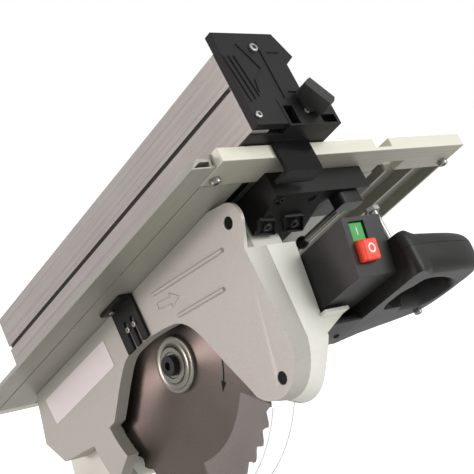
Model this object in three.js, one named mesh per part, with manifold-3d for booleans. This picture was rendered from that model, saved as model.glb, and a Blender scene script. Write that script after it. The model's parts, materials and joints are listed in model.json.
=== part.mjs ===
// Combination mitre saw with a saw table above its tilting head.
// Millimetres, +Z up. The head's own frame has its origin on the arbor, in the blade's plane,
// with -Y to the operator, and is turned about the rear hinge to its raised place.
import * as THREE from "three";
import { mergeVertices } from "three/addons/utils/BufferGeometryUtils.js";
import Module from "manifold-3d";

const wasm = await Module();
wasm.setup();

// Driving dimensions
const gap = 0.3;
const overrun = 2;
const weld = 1;
const wall = 4;
const radians = THREE.MathUtils.degToRad;
const headRaise = radians(38.4);

const blade = {
  radius: 127.5, thickness: 2.8, bore: 15, teeth: 40, gullet: 6, tipDrop: 1,
  frontShare: 0.1, gulletShare: 0.35, backShare: 0.8,
};
const arborDown = { forward: 40, sink: 8 };
const shaft = { radius: 7.5, boltRadius: 4, boltDepth: 22, right: 52 };
const bearing = { radius: 13, width: 9 };
const flange = { radius: 28, stepRadius: 18, thickness: 5, step: 2.5 };
const boltHead = { radius: 10, height: 7, socket: 4.5, socketDepth: 4 };

const knife = { thickness: 2.2, clearance: 3.5, width: 22, low: 22, high: 58, bossRadius: 7 };

const table = {
  underside: 78, thickness: 14, left: 88, right: 261, front: 231, rear: 252,
  railDepth: 37.5, rearRail: 12, railLeft: 61, leftFront: 222, leftInner: 13, skin: 3, web: 3,
  leftWebShares: [0.33, 0.66], rightWebShares: [0, 0.16, 0.32, 0.66, 0.83, 1],
  slotLeft: 131.5, slotWidth: 22, slotDepth: 9.5, notchWidth: 34, notchDepth: 16,
  edgeTop: 9.5, edgeLean: 8.5, edgeStep: 21.5, grooveWidth: 1.2, grooveDepth: 2,
};
const tableTop = table.underside + table.thickness;
const kerf = { halfWidth: 3.5, frontSpare: 14, tailSpare: 5 };
const kerfFront = Math.sqrt(blade.radius ** 2 - table.underside ** 2) + kerf.frontSpare;
const kerfTail = blade.radius + knife.clearance + knife.width + kerf.tailSpare;

// Head castings: sizes that end in Beyond are measured outwards from the blade's rim
const cover = {
  left: 24, seam: 2, right: 37, frontBeyond: 44.5, rearBeyond: 86.5, rearLowBeyond: 104.5,
  ledge: 27, lobeRadius: 37, lobeDrop: 60.5, lobeEnd: 322, earRadius: 17.5, earBack: 4, earUp: 55,
  earTopBack: 18, earTopAngle: 100, earLowAngle: 218, lip: 14,
};
const housing = {
  front: blade.radius + cover.frontBeyond, rear: blade.radius + cover.rearBeyond,
  rearLow: blade.radius + cover.rearLowBeyond,
};
const lobeForward = housing.front - cover.lobeRadius;
const ear = [-housing.front + cover.earBack, cover.earUp];
const casting = {
  setbackStep: 14, belly: 46, noseRadius: 24, noseLeft: 8, lobeEnd: 306, hollowEnd: 288,
};
const setback = housing.front - casting.setbackStep;
const draft = { run: 30, power: 1.3, high: 30, low: 90, back: -10, front: 90 };
const skirt = { over: 22.5, lap: 15.5, low: -24, lipHigh: -5, hingeBehind: 85 };
const skirtRadius = blade.radius + skirt.over;
const skirtInner = blade.radius - skirt.lap;
const coverHole = { radius: 6, depth: 10, tipLean: 9, tipDrop: 23.5 };

const pivot = {
  back: skirtRadius + skirt.hingeBehind, drop: 40, radius: 22, pinRadius: 8, bossLeft: 24,
  bossRight: 14, neckShare: 0.6, shoulderShare: 0.8,
};

const guard = {
  over: 12.5, thickness: 2, left: 9, right: 17, bandDepth: 44, start: 222, end: 280, clearance: 1,
};
const guardRadius = blade.radius + guard.over;

const pulley = { left: 41, width: 10, radius: 26, motorRadius: 14, beltThickness: 3, beltInset: 1 };
const motor = {
  forward: 45, up: 32, radius: 37, left: 57, length: 80, cap: 12, shaftRadius: 5, wall: 3,
  rotorRadius: 21, stackLength: 42, airGap: 1, commutatorRadius: 12.6, commutatorEnd: 8,
  fanRadius: 31, fanWidth: 9, bearingDepth: 8.4, vents: 6, ventRadius: 3.6, ventCircle: 22.2,
};
const gland = { back: 24, up: 10, radius: 7, bore: 3.6, length: 10 };
const beltCover = { wall: 3, clearance: 4 };

const carrier = {
  left: 3, width: 121, front: 208, back: 161, height: 23, backDrop: 12,
  postRadius: 4, postLeft: 12, postPitch: 40, postForward: 200, deepWidth: 63,
};
const lever = {
  right: 92, forward: 196, hubRadius: 8, hubReach: 20, hubHeight: 12, rodRadius: 2.6,
  rodLength: 66, rodDrop: 9, ballRadius: 6.5, studRadius: 4,
};
const stopBolt = { right: 104, forward: 212, radius: 4, headRadius: 7, headHeight: 4, up: 29 };

const box = {
  left: 39, right: 88, back: 132, front: 229, lean: 13, top: 14, bottom: -38, wall: 3,
  insetLeft: 8, insetTop: 4, well: 7.5, footFront: 164, footBack: 136,
};
const button = {
  width: 18, greenHeight: 17, redHeight: 19, greenOut: 2, redOut: 9, travel: 4, switchDepth: 18,
};
const handle = {
  left: 88, right: 203, front: 237, backLeft: 99, backRight: 127, top: -14, bottom: -51, seam: -26,
  corner: 26, bar: 36, limb: 25, side: 16, backBar: 36, bow: 7, holeCorner: 10,
  tailBack: 86, tailFront: 154,
};
const trigger = { width: 34, depth: 9, height: 18, tongue: 7 };
const shelf = {
  right: 65, back: 127, top: -41, thickness: 3, inset: 4, webInset: 14, webDrop: 18,
};
const lockButton = { radius: 6, pinRadius: 3, length: 20, back: 58, drop: 12, travel: 4 };

const fence = {
  left: 31, thickness: 20, bottom: 3, height: 80, front: 248, length: 466, wall: 2.5,
  groove: 4, grooveUp: 42, grooveDepth: 3,
};
const clamp = {
  right: 41, front: 256.5, crown: 17, ear: 12, blockLeft: 5, blockRight: 68, blockFront: 257,
  blockHeight: 28,
  strapLeft: 0, strapRight: 43, strapThickness: 4, hookDrop: 13, hookDepth: 15, hookThickness: 4,
  pocketShares: [[0.05, 0.22, 0.07, 0.74], [0.67, 0.94, 0.07, 0.36]], pocketDepth: 8,
};
const knob = {
  right: 39, up: 114, radius: 15, front: 276, length: 16, thickness: 12, lean: 51, studRadius: 4,
  hubRadius: 9,
};

const comb = {
  back: -9, depth: 40, bottom: 31, thickness: 3.4, slotWidth: 5.4, slotTop: 57, slotPitch: 12,
  firstSlot: 13, flangeWidth: 16,
};
const base = {
  height: 80, halfWidth: 235, front: 84, back: 64, floor: 12, wall: 7, inner: 96,
  ringTop: 60, ringWidth: 17, plate: 7, apronHalfWidth: 150, apronBack: 190, apronThickness: 10,
};
const turntable = {
  swing: 45, radius: 130, thickness: 14, hubRadius: 34, armHalfWidth: 31, armFront: 205,
  noseDepth: 44, noseDrop: 52, clearance: 1,
};
const insert = {
  halfWidth: 16, thickness: 4, front: 118, back: 64, slotLeft: 4, slotRight: 8, slotFront: 108,
  slotBack: 26, channelLeft: 7, channelRight: 13,
};
const centrePin = { radius: 7, headRadius: 13, headHeight: 6 };
const foot = {
  radius: 17, height: 12, x: 205, y: 60, rearX: 128, rearY: 168, stud: 6, studHeight: 6,
};
const rearFence = {
  thickness: 12, height: 58, gap: 58, bowInner: 66, bowWidth: 15, bowHeight: 9,
  leftShares: [[0, 0.25], [0.09, 0.44], [0.27, 0.44], [0.54, 1]], rightShares: [[0, 0.5], [0.09, 1]],
};
const fenceLug = { x: 190, behind: 24, height: 9, width: 26 };
const scale = { thickness: 1.5, height: 16, span: 52, up: 24 };
const mitreLock = {
  studRadius: 5, gripRadius: 21, gripLength: 34, neckRadius: 12, neck: 14, up: 44,
};
const lug = {
  width: 13, gap: 1, radius: 25, sweep: 6, neckDrop: 50, spring: 14, arcStart: -60, arcEnd: 170,
};
const bevel = {
  plateRadius: 42, plateThickness: 14, boltRadius: 7, headRadius: 8.6, headHeight: 8,
  bridgeHeight: 31.5, clearance: 1,
};
const bevelLever = {
  hubRadius: 14, hubLength: 16, length: 36, width: 13, tipRadius: 9.75, thickness: 9,
};
const lockPin = {
  radius: 4, length: 58, knobRadius: 9, knobLength: 14, travel: 12, drop: 4, lean: 14,
};
const spring = { wireRadius: 1.3, turns: 3, steps: 8, sides: 5, coilGap: 0.8 };

// Materials
const finish = (color, roughness, metalness = 0) =>
  new THREE.MeshStandardMaterial({ color, roughness, metalness });
const paint = finish(0xb9b2aa, 0.5, 0.3);
const castAluminium = finish(0xb4b2ad, 0.45, 0.8);
const anodised = finish(0xc2b8b4, 0.4, 0.7);
const blackPlastic = finish(0x2b2b2a, 0.55);
const blackSteel = finish(0x222222, 0.45, 0.6);
const brightSteel = finish(0xb8b8b4, 0.25, 0.95);
const rubber = finish(0x1c1c1c, 0.9);
const clearPlastic = finish(0xd8d8d0, 0.15);
const greenPlastic = finish(0x4fc070, 0.4);
const redPlastic = finish(0xf04a38, 0.4);
const copper = finish(0x9a5b34, 0.5, 0.7);
const insertPlastic = finish(0x8c1f1c, 0.6);
const scaleMetal = finish(0xd6d6ce, 0.35, 0.6);

// Solids: each helper gives a closed solid that can be joined and cut
function solidOf(geometry) {
  const bare = geometry.index ? geometry : geometry.clone();
  bare.deleteAttribute("normal");
  bare.deleteAttribute("uv");
  const merged = mergeVertices(bare, 1e-4);
  return new wasm.Manifold(new wasm.Mesh({
    numProp: 3,
    vertProperties: new Float32Array(merged.attributes.position.array),
    triVerts: new Uint32Array(merged.index.array),
  }));
}

function geometryOf(solid) {
  const mesh = solid.getMesh();
  const geometry = new THREE.BufferGeometry();
  geometry.setAttribute("position", new THREE.BufferAttribute(mesh.vertProperties, 3));
  geometry.setIndex(new THREE.BufferAttribute(mesh.triVerts, 1));
  return geometry;
}

const join = (...solids) => solids.reduce((whole, one) => whole.add(one));
const cut = (solid, ...cutters) => cutters.reduce((whole, one) => whole.subtract(one), solid);

// A flat outline pushed along an axis: x takes (y, z) outlines, y takes (x, z), z takes (x, y)
function prism(axis, shape, from, to, segments = 12, change = (geometry) => geometry) {
  const geometry = new THREE.ExtrudeGeometry(shape, {
    depth: to - from, bevelEnabled: false, curveSegments: segments,
  });
  const places = {
    x: [0, 0, 1, from, 1, 0, 0, 0, 0, 1, 0, 0],
    y: [1, 0, 0, 0, 0, 0, -1, to, 0, 1, 0, 0],
    z: [1, 0, 0, 0, 0, 1, 0, 0, 0, 0, 1, from],
  };
  geometry.applyMatrix4(new THREE.Matrix4().set(...places[axis], 0, 0, 0, 1));
  return solidOf(change(geometry));
}

const point = (a, b) => new THREE.Vector2(a, b);
const polygon = (points) => new THREE.Shape(points.map(([a, b]) => point(a, b)));

function circle(a, b, radius) {
  const shape = new THREE.Shape();
  shape.absarc(a, b, radius, 0, 2 * Math.PI);
  return shape;
}

function roundedRectangle(a0, a1, b0, b1, radius) {
  const shape = new THREE.Shape();
  shape.absarc(a0 + radius, b0 + radius, radius, Math.PI, 1.5 * Math.PI);
  shape.absarc(a1 - radius, b0 + radius, radius, 1.5 * Math.PI, 2 * Math.PI);
  shape.absarc(a1 - radius, b1 - radius, radius, 0, 0.5 * Math.PI);
  shape.absarc(a0 + radius, b1 - radius, radius, 0.5 * Math.PI, Math.PI);
  shape.closePath();
  return shape;
}

function block(x0, x1, y0, y1, z0, z1) {
  const geometry = new THREE.BoxGeometry(x1 - x0, y1 - y0, z1 - z0);
  geometry.translate((x0 + x1) / 2, (y0 + y1) / 2, (z0 + z1) / 2);
  return solidOf(geometry);
}

function rod(axis, radius, from, to, a = 0, b = 0, segments = 16) {
  return prism(axis, circle(a, b, radius), from, to, segments / 2);
}

function tube(axis, outer, inner, from, to, a = 0, b = 0, segments = 20) {
  const shape = circle(a, b, outer);
  shape.holes.push(circle(a, b, inner));
  return prism(axis, shape, from, to, segments / 2);
}

function ball(radius, x, y, z) {
  const geometry = new THREE.SphereGeometry(radius, 12, 8);
  geometry.translate(x, y, z);
  return solidOf(geometry);
}

const onCircle = (radius, degrees) => {
  const angle = radians(degrees);
  return [radius * Math.cos(angle), radius * Math.sin(angle)];
};

function arcPoints(a, b, radius, from, to, steps) {
  return Array.from({ length: steps + 1 }, (_, step) => {
    const [u, v] = onCircle(radius, from + ((to - from) * step) / steps);
    return [a + u, b + v];
  });
}

const sector = (outer, inner, from, to, steps) => polygon([
  ...arcPoints(0, 0, outer, from, to, steps),
  ...arcPoints(0, 0, inner, to, from, steps),
]);

// Scene graph
const saw = new THREE.Group();
const headFrame = new THREE.Group();
const headHinge = new THREE.Group();

function piece(group, name, solid, material) {
  const mesh = new THREE.Mesh(geometryOf(solid), material);
  mesh.name = name;
  group.add(mesh);
}

// With the head down the arbor is forward of the fence and the blade dips below the turntable
headHinge.position.set(0, pivot.back - arborDown.forward,
  base.height + blade.radius - arborDown.sink - pivot.drop);
headHinge.rotation.x = -headRaise;
headFrame.position.set(0, -pivot.back, pivot.drop);
headHinge.add(headFrame);
saw.add(headHinge);

// Base: two hollow wings joined by a round bed that holds the turntable
function baseCasting() {
  const bedRadius = turntable.radius + base.ringWidth;
  const wing = (side) => {
    const near = Math.min(side * base.inner, side * base.halfWidth);
    const far = Math.max(side * base.inner, side * base.halfWidth);
    const shell = block(near, far, -base.front, base.back, base.floor, base.height);
    const hollowNear = side > 0 ? bedRadius + base.wall : near + base.wall;
    const hollowFar = side > 0 ? far - base.wall : -bedRadius - base.wall;
    const hollow = block(hollowNear, hollowFar, -base.front + base.wall, base.back - base.wall,
      base.floor - overrun, base.height - base.wall);
    return cut(shell, hollow);
  };
  const bed = rod("z", bedRadius, base.floor, base.ringTop, 0, 0, 48);
  const apron = block(-base.apronHalfWidth, base.apronHalfWidth, 0, base.apronBack,
    base.floor, base.floor + base.apronThickness);
  const clearing = rod("z", turntable.radius + turntable.clearance, base.floor + base.plate,
    base.height + overrun, 0, 0, 48);
  const armWay = block(-base.inner, base.inner, -bedRadius - overrun, bedRadius + overrun,
    base.ringTop, base.height + overrun);
  const armRoom = block(-turntable.armHalfWidth - turntable.clearance,
    turntable.armHalfWidth + turntable.clearance, -turntable.armFront, 0, base.ringTop,
    base.height + overrun);
  const armRooms = [-turntable.swing, turntable.swing].map((turn) => armRoom.rotate([0, 0, turn]));
  const pinHole = rod("z", centrePin.radius + gap, 0, base.height);
  const bosses = footPlaces().map(([, x, y]) => rod("z", foot.stud + base.wall, base.floor,
    y > 0 ? base.floor + base.apronThickness : base.height - base.wall + gap, x, y, 16));
  const studHoles = footPlaces().map(([, x, y]) =>
    rod("z", foot.stud + gap, base.floor - overrun, base.floor + foot.studHeight + weld, x, y, 8));
  return cut(join(wing(-1), wing(1), bed, apron, ...bosses), clearing, armWay, ...armRooms,
    pinHole, ...studHoles);
}

function footPlaces() {
  return [
    ["front_left", -foot.x, -foot.y], ["front_right", foot.x, -foot.y],
    ["rear_left", -foot.rearX, foot.rearY], ["rear_right", foot.rearX, foot.rearY],
  ];
}

function addBase() {
  piece(saw, "base_casting", baseCasting(), castAluminium);
  for (const [place, x, y] of footPlaces()) {
    const pad = rod("z", foot.radius, 0, foot.height - gap, x, y, 16);
    const stud = rod("z", foot.stud, 0, foot.height + foot.studHeight, x, y, 8);
    piece(saw, `foot_${place}`, join(pad, stud), rubber);
  }
  const pinTop = base.height - turntable.thickness - weld;
  piece(saw, "turntable_centre_pin", join(
    rod("z", centrePin.radius, base.floor - centrePin.headHeight + weld, pinTop),
    rod("z", centrePin.headRadius, base.floor - centrePin.headHeight - gap, base.floor - gap),
  ), brightSteel);
  const bedRadius = turntable.radius + base.ringWidth;
  const inner = bedRadius + gap;
  const arc = sector(inner + scale.thickness, inner, -90 - scale.span, -90 + scale.span, 26);
  piece(saw, "mitre_scale", prism("z", arc, base.floor + scale.up,
    base.floor + scale.up + scale.height), scaleMetal);
}

function addRearFence() {
  const low = base.height + gap;
  const face = (side) => {
    const outer = side * base.halfWidth;
    const inner = side * rearFence.gap;
    const shares = side < 0 ? rearFence.leftShares : rearFence.rightShares;
    const end = shares.map(([run, rise]) => [inner + (outer - inner) * run,
      low + rearFence.height * rise]);
    const shape = polygon([[outer, low], [inner, low], ...end, [outer, low + rearFence.height]]);
    return prism("y", shape, gap, rearFence.thickness);
  };
  const bow = prism("z", sector(rearFence.bowInner + rearFence.bowWidth, rearFence.bowInner,
    0, 180, 20), low, low + rearFence.bowHeight);
  const lugs = [-1, 1].map((side) => block(side * fenceLug.x - fenceLug.width / 2,
    side * fenceLug.x + fenceLug.width / 2, rearFence.thickness / 2,
    fenceLug.behind + fenceLug.width / 2, low, low + fenceLug.height));
  const behind = block(-base.halfWidth, base.halfWidth, -base.halfWidth, gap,
    low - overrun, low + rearFence.height);
  piece(saw, "rear_fence", cut(join(face(-1), face(1), bow, ...lugs), behind), castAluminium);
}

// Turntable: a disc with a front arm that carries the lock and a rear arm for the bevel joint
function addTurntable() {
  const underside = base.height - turntable.thickness;
  const armLow = base.ringTop + gap;
  const disc = rod("z", turntable.radius, underside, base.height, 0, 0, 48);
  const hub = rod("z", turntable.hubRadius, base.floor + base.plate + gap, underside + weld);
  const frontArm = block(-turntable.armHalfWidth, turntable.armHalfWidth, -turntable.armFront, 0,
    armLow, base.height);
  const nose = block(-turntable.armHalfWidth, turntable.armHalfWidth, -turntable.armFront,
    -turntable.armFront + turntable.noseDepth, base.height - turntable.noseDrop, base.height);
  const rearArm = block(-turntable.armHalfWidth, turntable.armHalfWidth, 0, bevelFace() - gap,
    armLow, base.height);
  const boss = rod("y", bevel.plateRadius, bossFront(), bevelFace() - gap, 0, base.height, 32);
  const seat = block(-insert.halfWidth, insert.halfWidth, -insert.front, insert.back,
    base.height - insert.thickness, base.height + overrun);
  const channel = block(-insert.channelLeft, insert.channelRight, -insert.front + wall,
    insert.back - wall, underside + overrun, base.height);
  const pinHole = rod("z", centrePin.radius + gap, 0, underside);
  const lockHole = rod("y", mitreLock.studRadius + gap, -turntable.armFront - overrun, -base.inner,
    0, mitreLock.up);
  const bevelHole = rod("y", bevel.boltRadius + gap, bossFront() - overrun, bevelFace() + overrun,
    0, base.height);
  const headRoom = rod("y", bevel.headRadius + gap, bossFront() - bevel.headHeight - gap * 2,
    bossFront(), 0, base.height);
  piece(saw, "turntable", cut(join(disc, hub, frontArm, nose, rearArm, boss), seat, channel,
    pinHole, lockHole, bevelHole, headRoom), castAluminium);
  const slot = block(-insert.slotLeft, insert.slotRight, -insert.slotFront, insert.slotBack,
    base.height - insert.thickness - overrun, base.height + overrun);
  piece(saw, "kerf_insert", cut(block(-insert.halfWidth + gap, insert.halfWidth - gap,
    -insert.front + gap, insert.back - gap, base.height - insert.thickness + gap, base.height),
  slot), insertPlastic);
  const bedRadius = turntable.radius + base.ringWidth;
  const stud = rod("y", mitreLock.studRadius, -turntable.armFront - mitreLock.neck,
    -bedRadius - gap - scale.thickness - gap, 0, mitreLock.up);
  const neck = rod("y", mitreLock.neckRadius, -turntable.armFront - mitreLock.neck,
    -turntable.armFront - gap, 0, mitreLock.up, 16);
  const grip = rod("y", mitreLock.gripRadius, -turntable.armFront - mitreLock.neck
    - mitreLock.gripLength, -turntable.armFront - mitreLock.neck, 0, mitreLock.up, 20);
  piece(saw, "mitre_lock_knob", join(stud, neck, grip), blackPlastic);
}

// The bevel joint's face stands behind the bed
function bevelFace() {
  return turntable.radius + base.ringWidth + bevel.plateThickness + bevel.clearance;
}

const bossFront = () => bevelFace() - bevel.plateThickness;

// Bevel bracket: a plate on the turntable's rear face that rises to the head's hinge lugs
function addBevelBracket() {
  const near = bevelFace();
  const far = near + bevel.plateThickness;
  const hingeY = headHinge.position.y;
  const hingeZ = headHinge.position.z;
  const boltZ = base.height;
  const plate = rod("y", bevel.plateRadius, near, far, 0, boltZ, 32);
  const lugs = [[-pivot.bossLeft - lug.gap - lug.width, -pivot.bossLeft - lug.gap],
    [pivot.bossRight + lug.spring, pivot.bossRight + lug.spring + lug.width]];
  const sides = lugs.map(([x0, x1]) => {
    const shape = polygon([
      [near, base.height], [far, base.height], [hingeY, hingeZ - lug.neckDrop],
      ...arcPoints(hingeY, hingeZ, lug.radius, lug.arcStart, lug.arcEnd, 12),
    ]);
    return prism("x", shape, x0, x1);
  });
  const bridgeTop = base.height + bevel.bridgeHeight;
  const bridge = block(lugs[0][0], lugs[1][1], near, far, base.height, bridgeTop);
  const pinHole = rod("x", pivot.pinRadius + gap, lugs[0][0] - overrun, lugs[1][1] + overrun,
    hingeY, hingeZ);
  const boltHole = rod("y", bevel.boltRadius + gap, near - overrun, far + overrun, 0, boltZ);
  const lockHole = rod("x", lockPin.radius + gap, pivot.bossRight, lugs[1][1] + overrun,
    ...lockPlace());
  piece(saw, "bevel_bracket", cut(join(plate, ...sides, bridge), pinHole, boltHole, lockHole),
    paint);
  const pinLeft = lugs[0][0] - wall;
  piece(saw, "head_hinge_pin", join(
    rod("x", pivot.pinRadius, pinLeft, lugs[1][1] + wall, hingeY, hingeZ),
    rod("x", pivot.pinRadius + wall, pinLeft, lugs[0][0] - gap, hingeY, hingeZ),
    rod("x", pivot.pinRadius + wall, lugs[1][1] + gap, lugs[1][1] + wall, hingeY, hingeZ),
  ), brightSteel);
  const boltEnd = far + bevelLever.hubLength / 2;
  const headBack = bossFront() - gap;
  piece(saw, "bevel_bolt", join(
    rod("y", bevel.boltRadius, headBack - weld, boltEnd, 0, boltZ),
    rod("y", bevel.headRadius, headBack - bevel.headHeight, headBack, 0, boltZ, 6),
  ), brightSteel);
  const hubFrom = far + gap;
  const hub = rod("y", bevelLever.hubRadius, hubFrom, hubFrom + bevelLever.hubLength, 0, boltZ);
  const bar = block(-bevelLever.width / 2, bevelLever.width / 2, hubFrom + gap,
    hubFrom + bevelLever.thickness, boltZ - bevelLever.length, boltZ);
  const tip = rod("y", bevelLever.tipRadius, hubFrom + gap, hubFrom + bevelLever.thickness,
    0, boltZ - bevelLever.length);
  const clear = rod("y", bevel.boltRadius + gap, hubFrom - overrun, boltEnd + gap, 0, boltZ);
  piece(saw, "bevel_lock_lever", cut(join(hub, bar, tip), clear), blackPlastic);
}

// The lock pin crosses the right lug under the hinge
function lockPlace() {
  return [headHinge.position.y - lockPin.lean, headHinge.position.z - pivot.radius - lockPin.radius
    - lockPin.drop];
}

function addHeadLockPin() {
  const lugRight = pivot.bossRight + lug.spring + lug.width;
  const [y, z] = lockPlace();
  piece(saw, "head_lock_pin", join(
    rod("x", lockPin.radius, lugRight + lockPin.knobLength - lockPin.length, lugRight + lockPin.travel,
      y, z),
    rod("x", lockPin.knobRadius, lugRight + lockPin.travel - weld,
      lugRight + lockPin.travel + lockPin.knobLength, y, z),
  ), blackSteel);
}

// Head castings. Outlines are drawn in (y, z) from the arbor.
const shareOf = (size, shares) => shares.map(([a, b]) => point(a * size, b * size));

// The edge of the left cover over the blade, from the front lobe to the rear skirt
const lipShares = [
  [-0.79, -0.55], [-0.685, -0.31], [-0.57, -0.03], [-0.47, 0.11], [-0.34, 0.18], [-0.05, 0.238],
  [0.2, 0.255], [0.351, 0.235], [0.527, 0.127], [0.666, 0.021], [0.79, -0.072],
];

function coverOutline() {
  const top = table.underside - gap;
  const shape = new THREE.Shape();
  shape.moveTo(housing.rear, top);
  shape.lineTo(ear[0] + cover.earTopBack, top);
  shape.absarc(...ear, cover.earRadius, radians(cover.earTopAngle), radians(cover.earLowAngle));
  shape.lineTo(-housing.front, cover.ledge);
  shape.lineTo(-housing.front, -cover.lobeDrop);
  shape.absarc(-lobeForward, -cover.lobeDrop, cover.lobeRadius, Math.PI, radians(cover.lobeEnd));
  shape.splineThru(shareOf(blade.radius, lipShares));
  shape.absarc(0, 0, skirtInner, radians(skirt.lipHigh), radians(skirt.low), true);
  shape.absarc(0, 0, skirtRadius, radians(skirt.low), radians(skirt.lipHigh));
  shape.lineTo(housing.rear - wall, -wall);
  shape.lineTo(housing.rearLow, cover.ledge);
  shape.closePath();
  return shape;
}

function castingOutline() {
  const top = table.underside - gap;
  const shape = new THREE.Shape();
  shape.moveTo(housing.rear, top);
  shape.lineTo(-setback, top);
  shape.lineTo(-setback, cover.ledge + wall);
  shape.lineTo(-housing.front, cover.ledge);
  shape.lineTo(-housing.front, -cover.lobeDrop);
  shape.absarc(-lobeForward, -cover.lobeDrop, cover.lobeRadius, Math.PI, radians(casting.lobeEnd));
  shape.lineTo(-casting.belly, -casting.belly);
  shape.lineTo(casting.belly, -casting.belly);
  shape.lineTo(...onCircle(skirtInner, skirt.low));
  shape.absarc(0, 0, skirtRadius, radians(skirt.low), radians(skirt.lipHigh - wall));
  shape.lineTo(pivot.back - pivot.radius, -pivot.drop - pivot.radius * pivot.neckShare);
  shape.lineTo(pivot.back + pivot.radius * pivot.neckShare,
    -pivot.drop + pivot.radius * pivot.shoulderShare);
  shape.lineTo(housing.rearLow, cover.ledge);
  shape.closePath();
  return shape;
}

// The lobe runs back towards the right of the head, the more so the lower it is
function drafted(geometry) {
  const places = geometry.attributes.position;
  const { smoothstep } = THREE.MathUtils;
  for (let index = 0; index < places.count; index += 1) {
    const y = places.getY(index);
    const across = (places.getX(index) + cover.left) / (cover.left + cover.right);
    const run = draft.run * Math.max(across, 0) ** draft.power;
    const low = smoothstep(-places.getZ(index), draft.high, draft.low);
    places.setY(index, y + run * low * smoothstep(-y, draft.back, draft.front));
  }
  return geometry;
}

// The hollow inside both shells, in which the blade turns and the guard goes back
function hollowOutline() {
  const top = table.underside - gap - wall;
  const front = -housing.front + wall;
  const shape = new THREE.Shape();
  const below = -skirtRadius;
  shape.moveTo(housing.rear - wall * 2, top);
  shape.lineTo(-setback + wall, top);
  shape.lineTo(-setback + wall, cover.ledge - wall);
  shape.lineTo(front, cover.ledge - wall);
  shape.lineTo(front, -cover.lobeDrop);
  shape.absarc(-lobeForward, -cover.lobeDrop, cover.lobeRadius - wall, Math.PI,
    radians(casting.hollowEnd));
  shape.lineTo(-lobeForward + cover.lobeRadius, below);
  shape.lineTo(skirtInner * Math.cos(radians(skirt.low)), below);
  shape.absarc(0, 0, skirtRadius - wall, radians(skirt.low - wall * 2),
    radians(skirt.lipHigh - wall));
  shape.lineTo(housing.rear - wall * 2, wall);
  shape.closePath();
  return shape;
}

function addHousing() {
  const bladeWay = block(-kerf.halfWidth - weld, kerf.halfWidth + weld, -kerfFront, kerfTail + wall,
    0, table.underside);
  const pin = pivotInHead();
  addLeftCover(bladeWay, pin);

  const shell = prism("x", castingOutline(), cover.seam, cover.right, 6, drafted);
  const hollow = prism("x", hollowOutline(), cover.seam - overrun, cover.right - wall, 6, drafted);
  const guardRoom = rod("x", guardRadius + guard.clearance, cover.seam - overrun,
    guard.right + guard.clearance, 0, 0, 48)
    .intersect(block(-cover.left, cover.right, -skirtRadius, skirtRadius, -skirtRadius,
      -casting.belly - overrun));
  const nose = rod("x", casting.noseRadius, casting.noseLeft, cover.right - wall / 2, 0, 0, 32);
  const hingeBoss = rod("x", pivot.radius, -pivot.bossLeft, pivot.bossRight, ...pin, 24);
  const lugRoom = rod("x", lug.radius + lug.sweep, pivot.bossRight, cover.right + overrun, ...pin,
    24);
  const bracket = block(cover.right - wall / 2, shelf.right, -housing.front + shelf.inset,
    -shelf.back, shelf.top - shelf.thickness, shelf.top);
  const webFront = -housing.front + shelf.webInset;
  const web = prism("y", polygon([
    [cover.right - wall / 2, shelf.top], [shelf.right, shelf.top],
    [shelf.right, shelf.top - shelf.thickness], [cover.right - wall / 2, shelf.top - shelf.webDrop],
  ]), webFront, webFront + shelf.thickness);
  const bearingSeats = [
    rod("x", bearing.radius + gap, casting.noseLeft - overrun, casting.noseLeft + bearing.width, 0, 0),
    rod("x", bearing.radius + gap, cover.right - bearing.width, cover.right + overrun, 0, 0),
  ];
  const bore = rod("x", shaft.radius + gap * 3, casting.noseLeft - overrun,
    cover.right + overrun);
  const pinHole = rod("x", pivot.pinRadius + gap, -pivot.bossLeft - overrun,
    cover.right + overrun, ...pin);
  const carrierRoom = block(carrier.left - gap, cover.right + overrun, -carrier.front,
    -carrier.back + gap * 2, cover.ledge + wall, table.underside);
  const knifeSeat = rod("x", knife.bossRadius, knife.thickness / 2 + gap, cover.right - wall / 2,
    ...knifeBoss());
  const buttonHole = rod("x", lockButton.pinRadius + gap, 0, cover.right + overrun,
    ...lockButtonPlace(), 12);
  const hollowed = cut(shell, hollow, bladeWay, guardRoom, lugRoom);
  piece(headFrame, "head_casting", cut(join(hollowed, nose, hingeBoss, bracket, web, knifeSeat),
    ...bearingSeats, bore, pinHole, carrierRoom, buttonHole), castAluminium);
}

// The left cover: a deep pressing with a thin ear at the front and a lip turned in at the blade
function addLeftCover(bladeWay, pin) {
  const shell = prism("x", coverOutline(), -cover.left, cover.seam - gap, 6, drafted);
  const hollow = prism("x", hollowOutline(), -cover.left + wall, cover.seam + overrun, 6, drafted);
  const behindEar = block(-cover.left + wall, cover.seam + overrun, -housing.front - cover.left,
    -setback, cover.ledge, table.underside);
  const skin = shell.intersect(block(-cover.left, -cover.left + cover.lip,
    -housing.front - cover.left, housing.rearLow, -skirtRadius, table.underside));
  const lip = join(cut(skin, skin.translate([0, -wall, wall])),
    cut(skin, skin.translate([0, wall, wall])));
  const [tipY, tipZ] = [-lobeForward - coverHole.tipLean, -cover.lobeDrop - coverHole.tipDrop];
  const earHole = rod("x", coverHole.radius, -cover.left - overrun, -cover.left + coverHole.depth,
    ...ear, 16);
  const tipHole = rod("x", coverHole.radius, -cover.left - overrun, -cover.left + coverHole.depth,
    tipY, tipZ, 16);
  const tipBoss = rod("x", coverHole.radius + wall, -cover.left, -cover.left + cover.lip,
    tipY, tipZ, 16).intersect(skin);
  const hingeRoom = rod("x", pivot.radius + wall, -cover.left - overrun, cover.seam + overrun,
    ...pin);
  piece(headFrame, "left_blade_cover", cut(join(cut(shell, hollow, bladeWay), lip, tipBoss),
    behindEar, earHole, tipHole, hingeRoom), paint);
}

const pivotInHead = () => [pivot.back, -pivot.drop];

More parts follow.
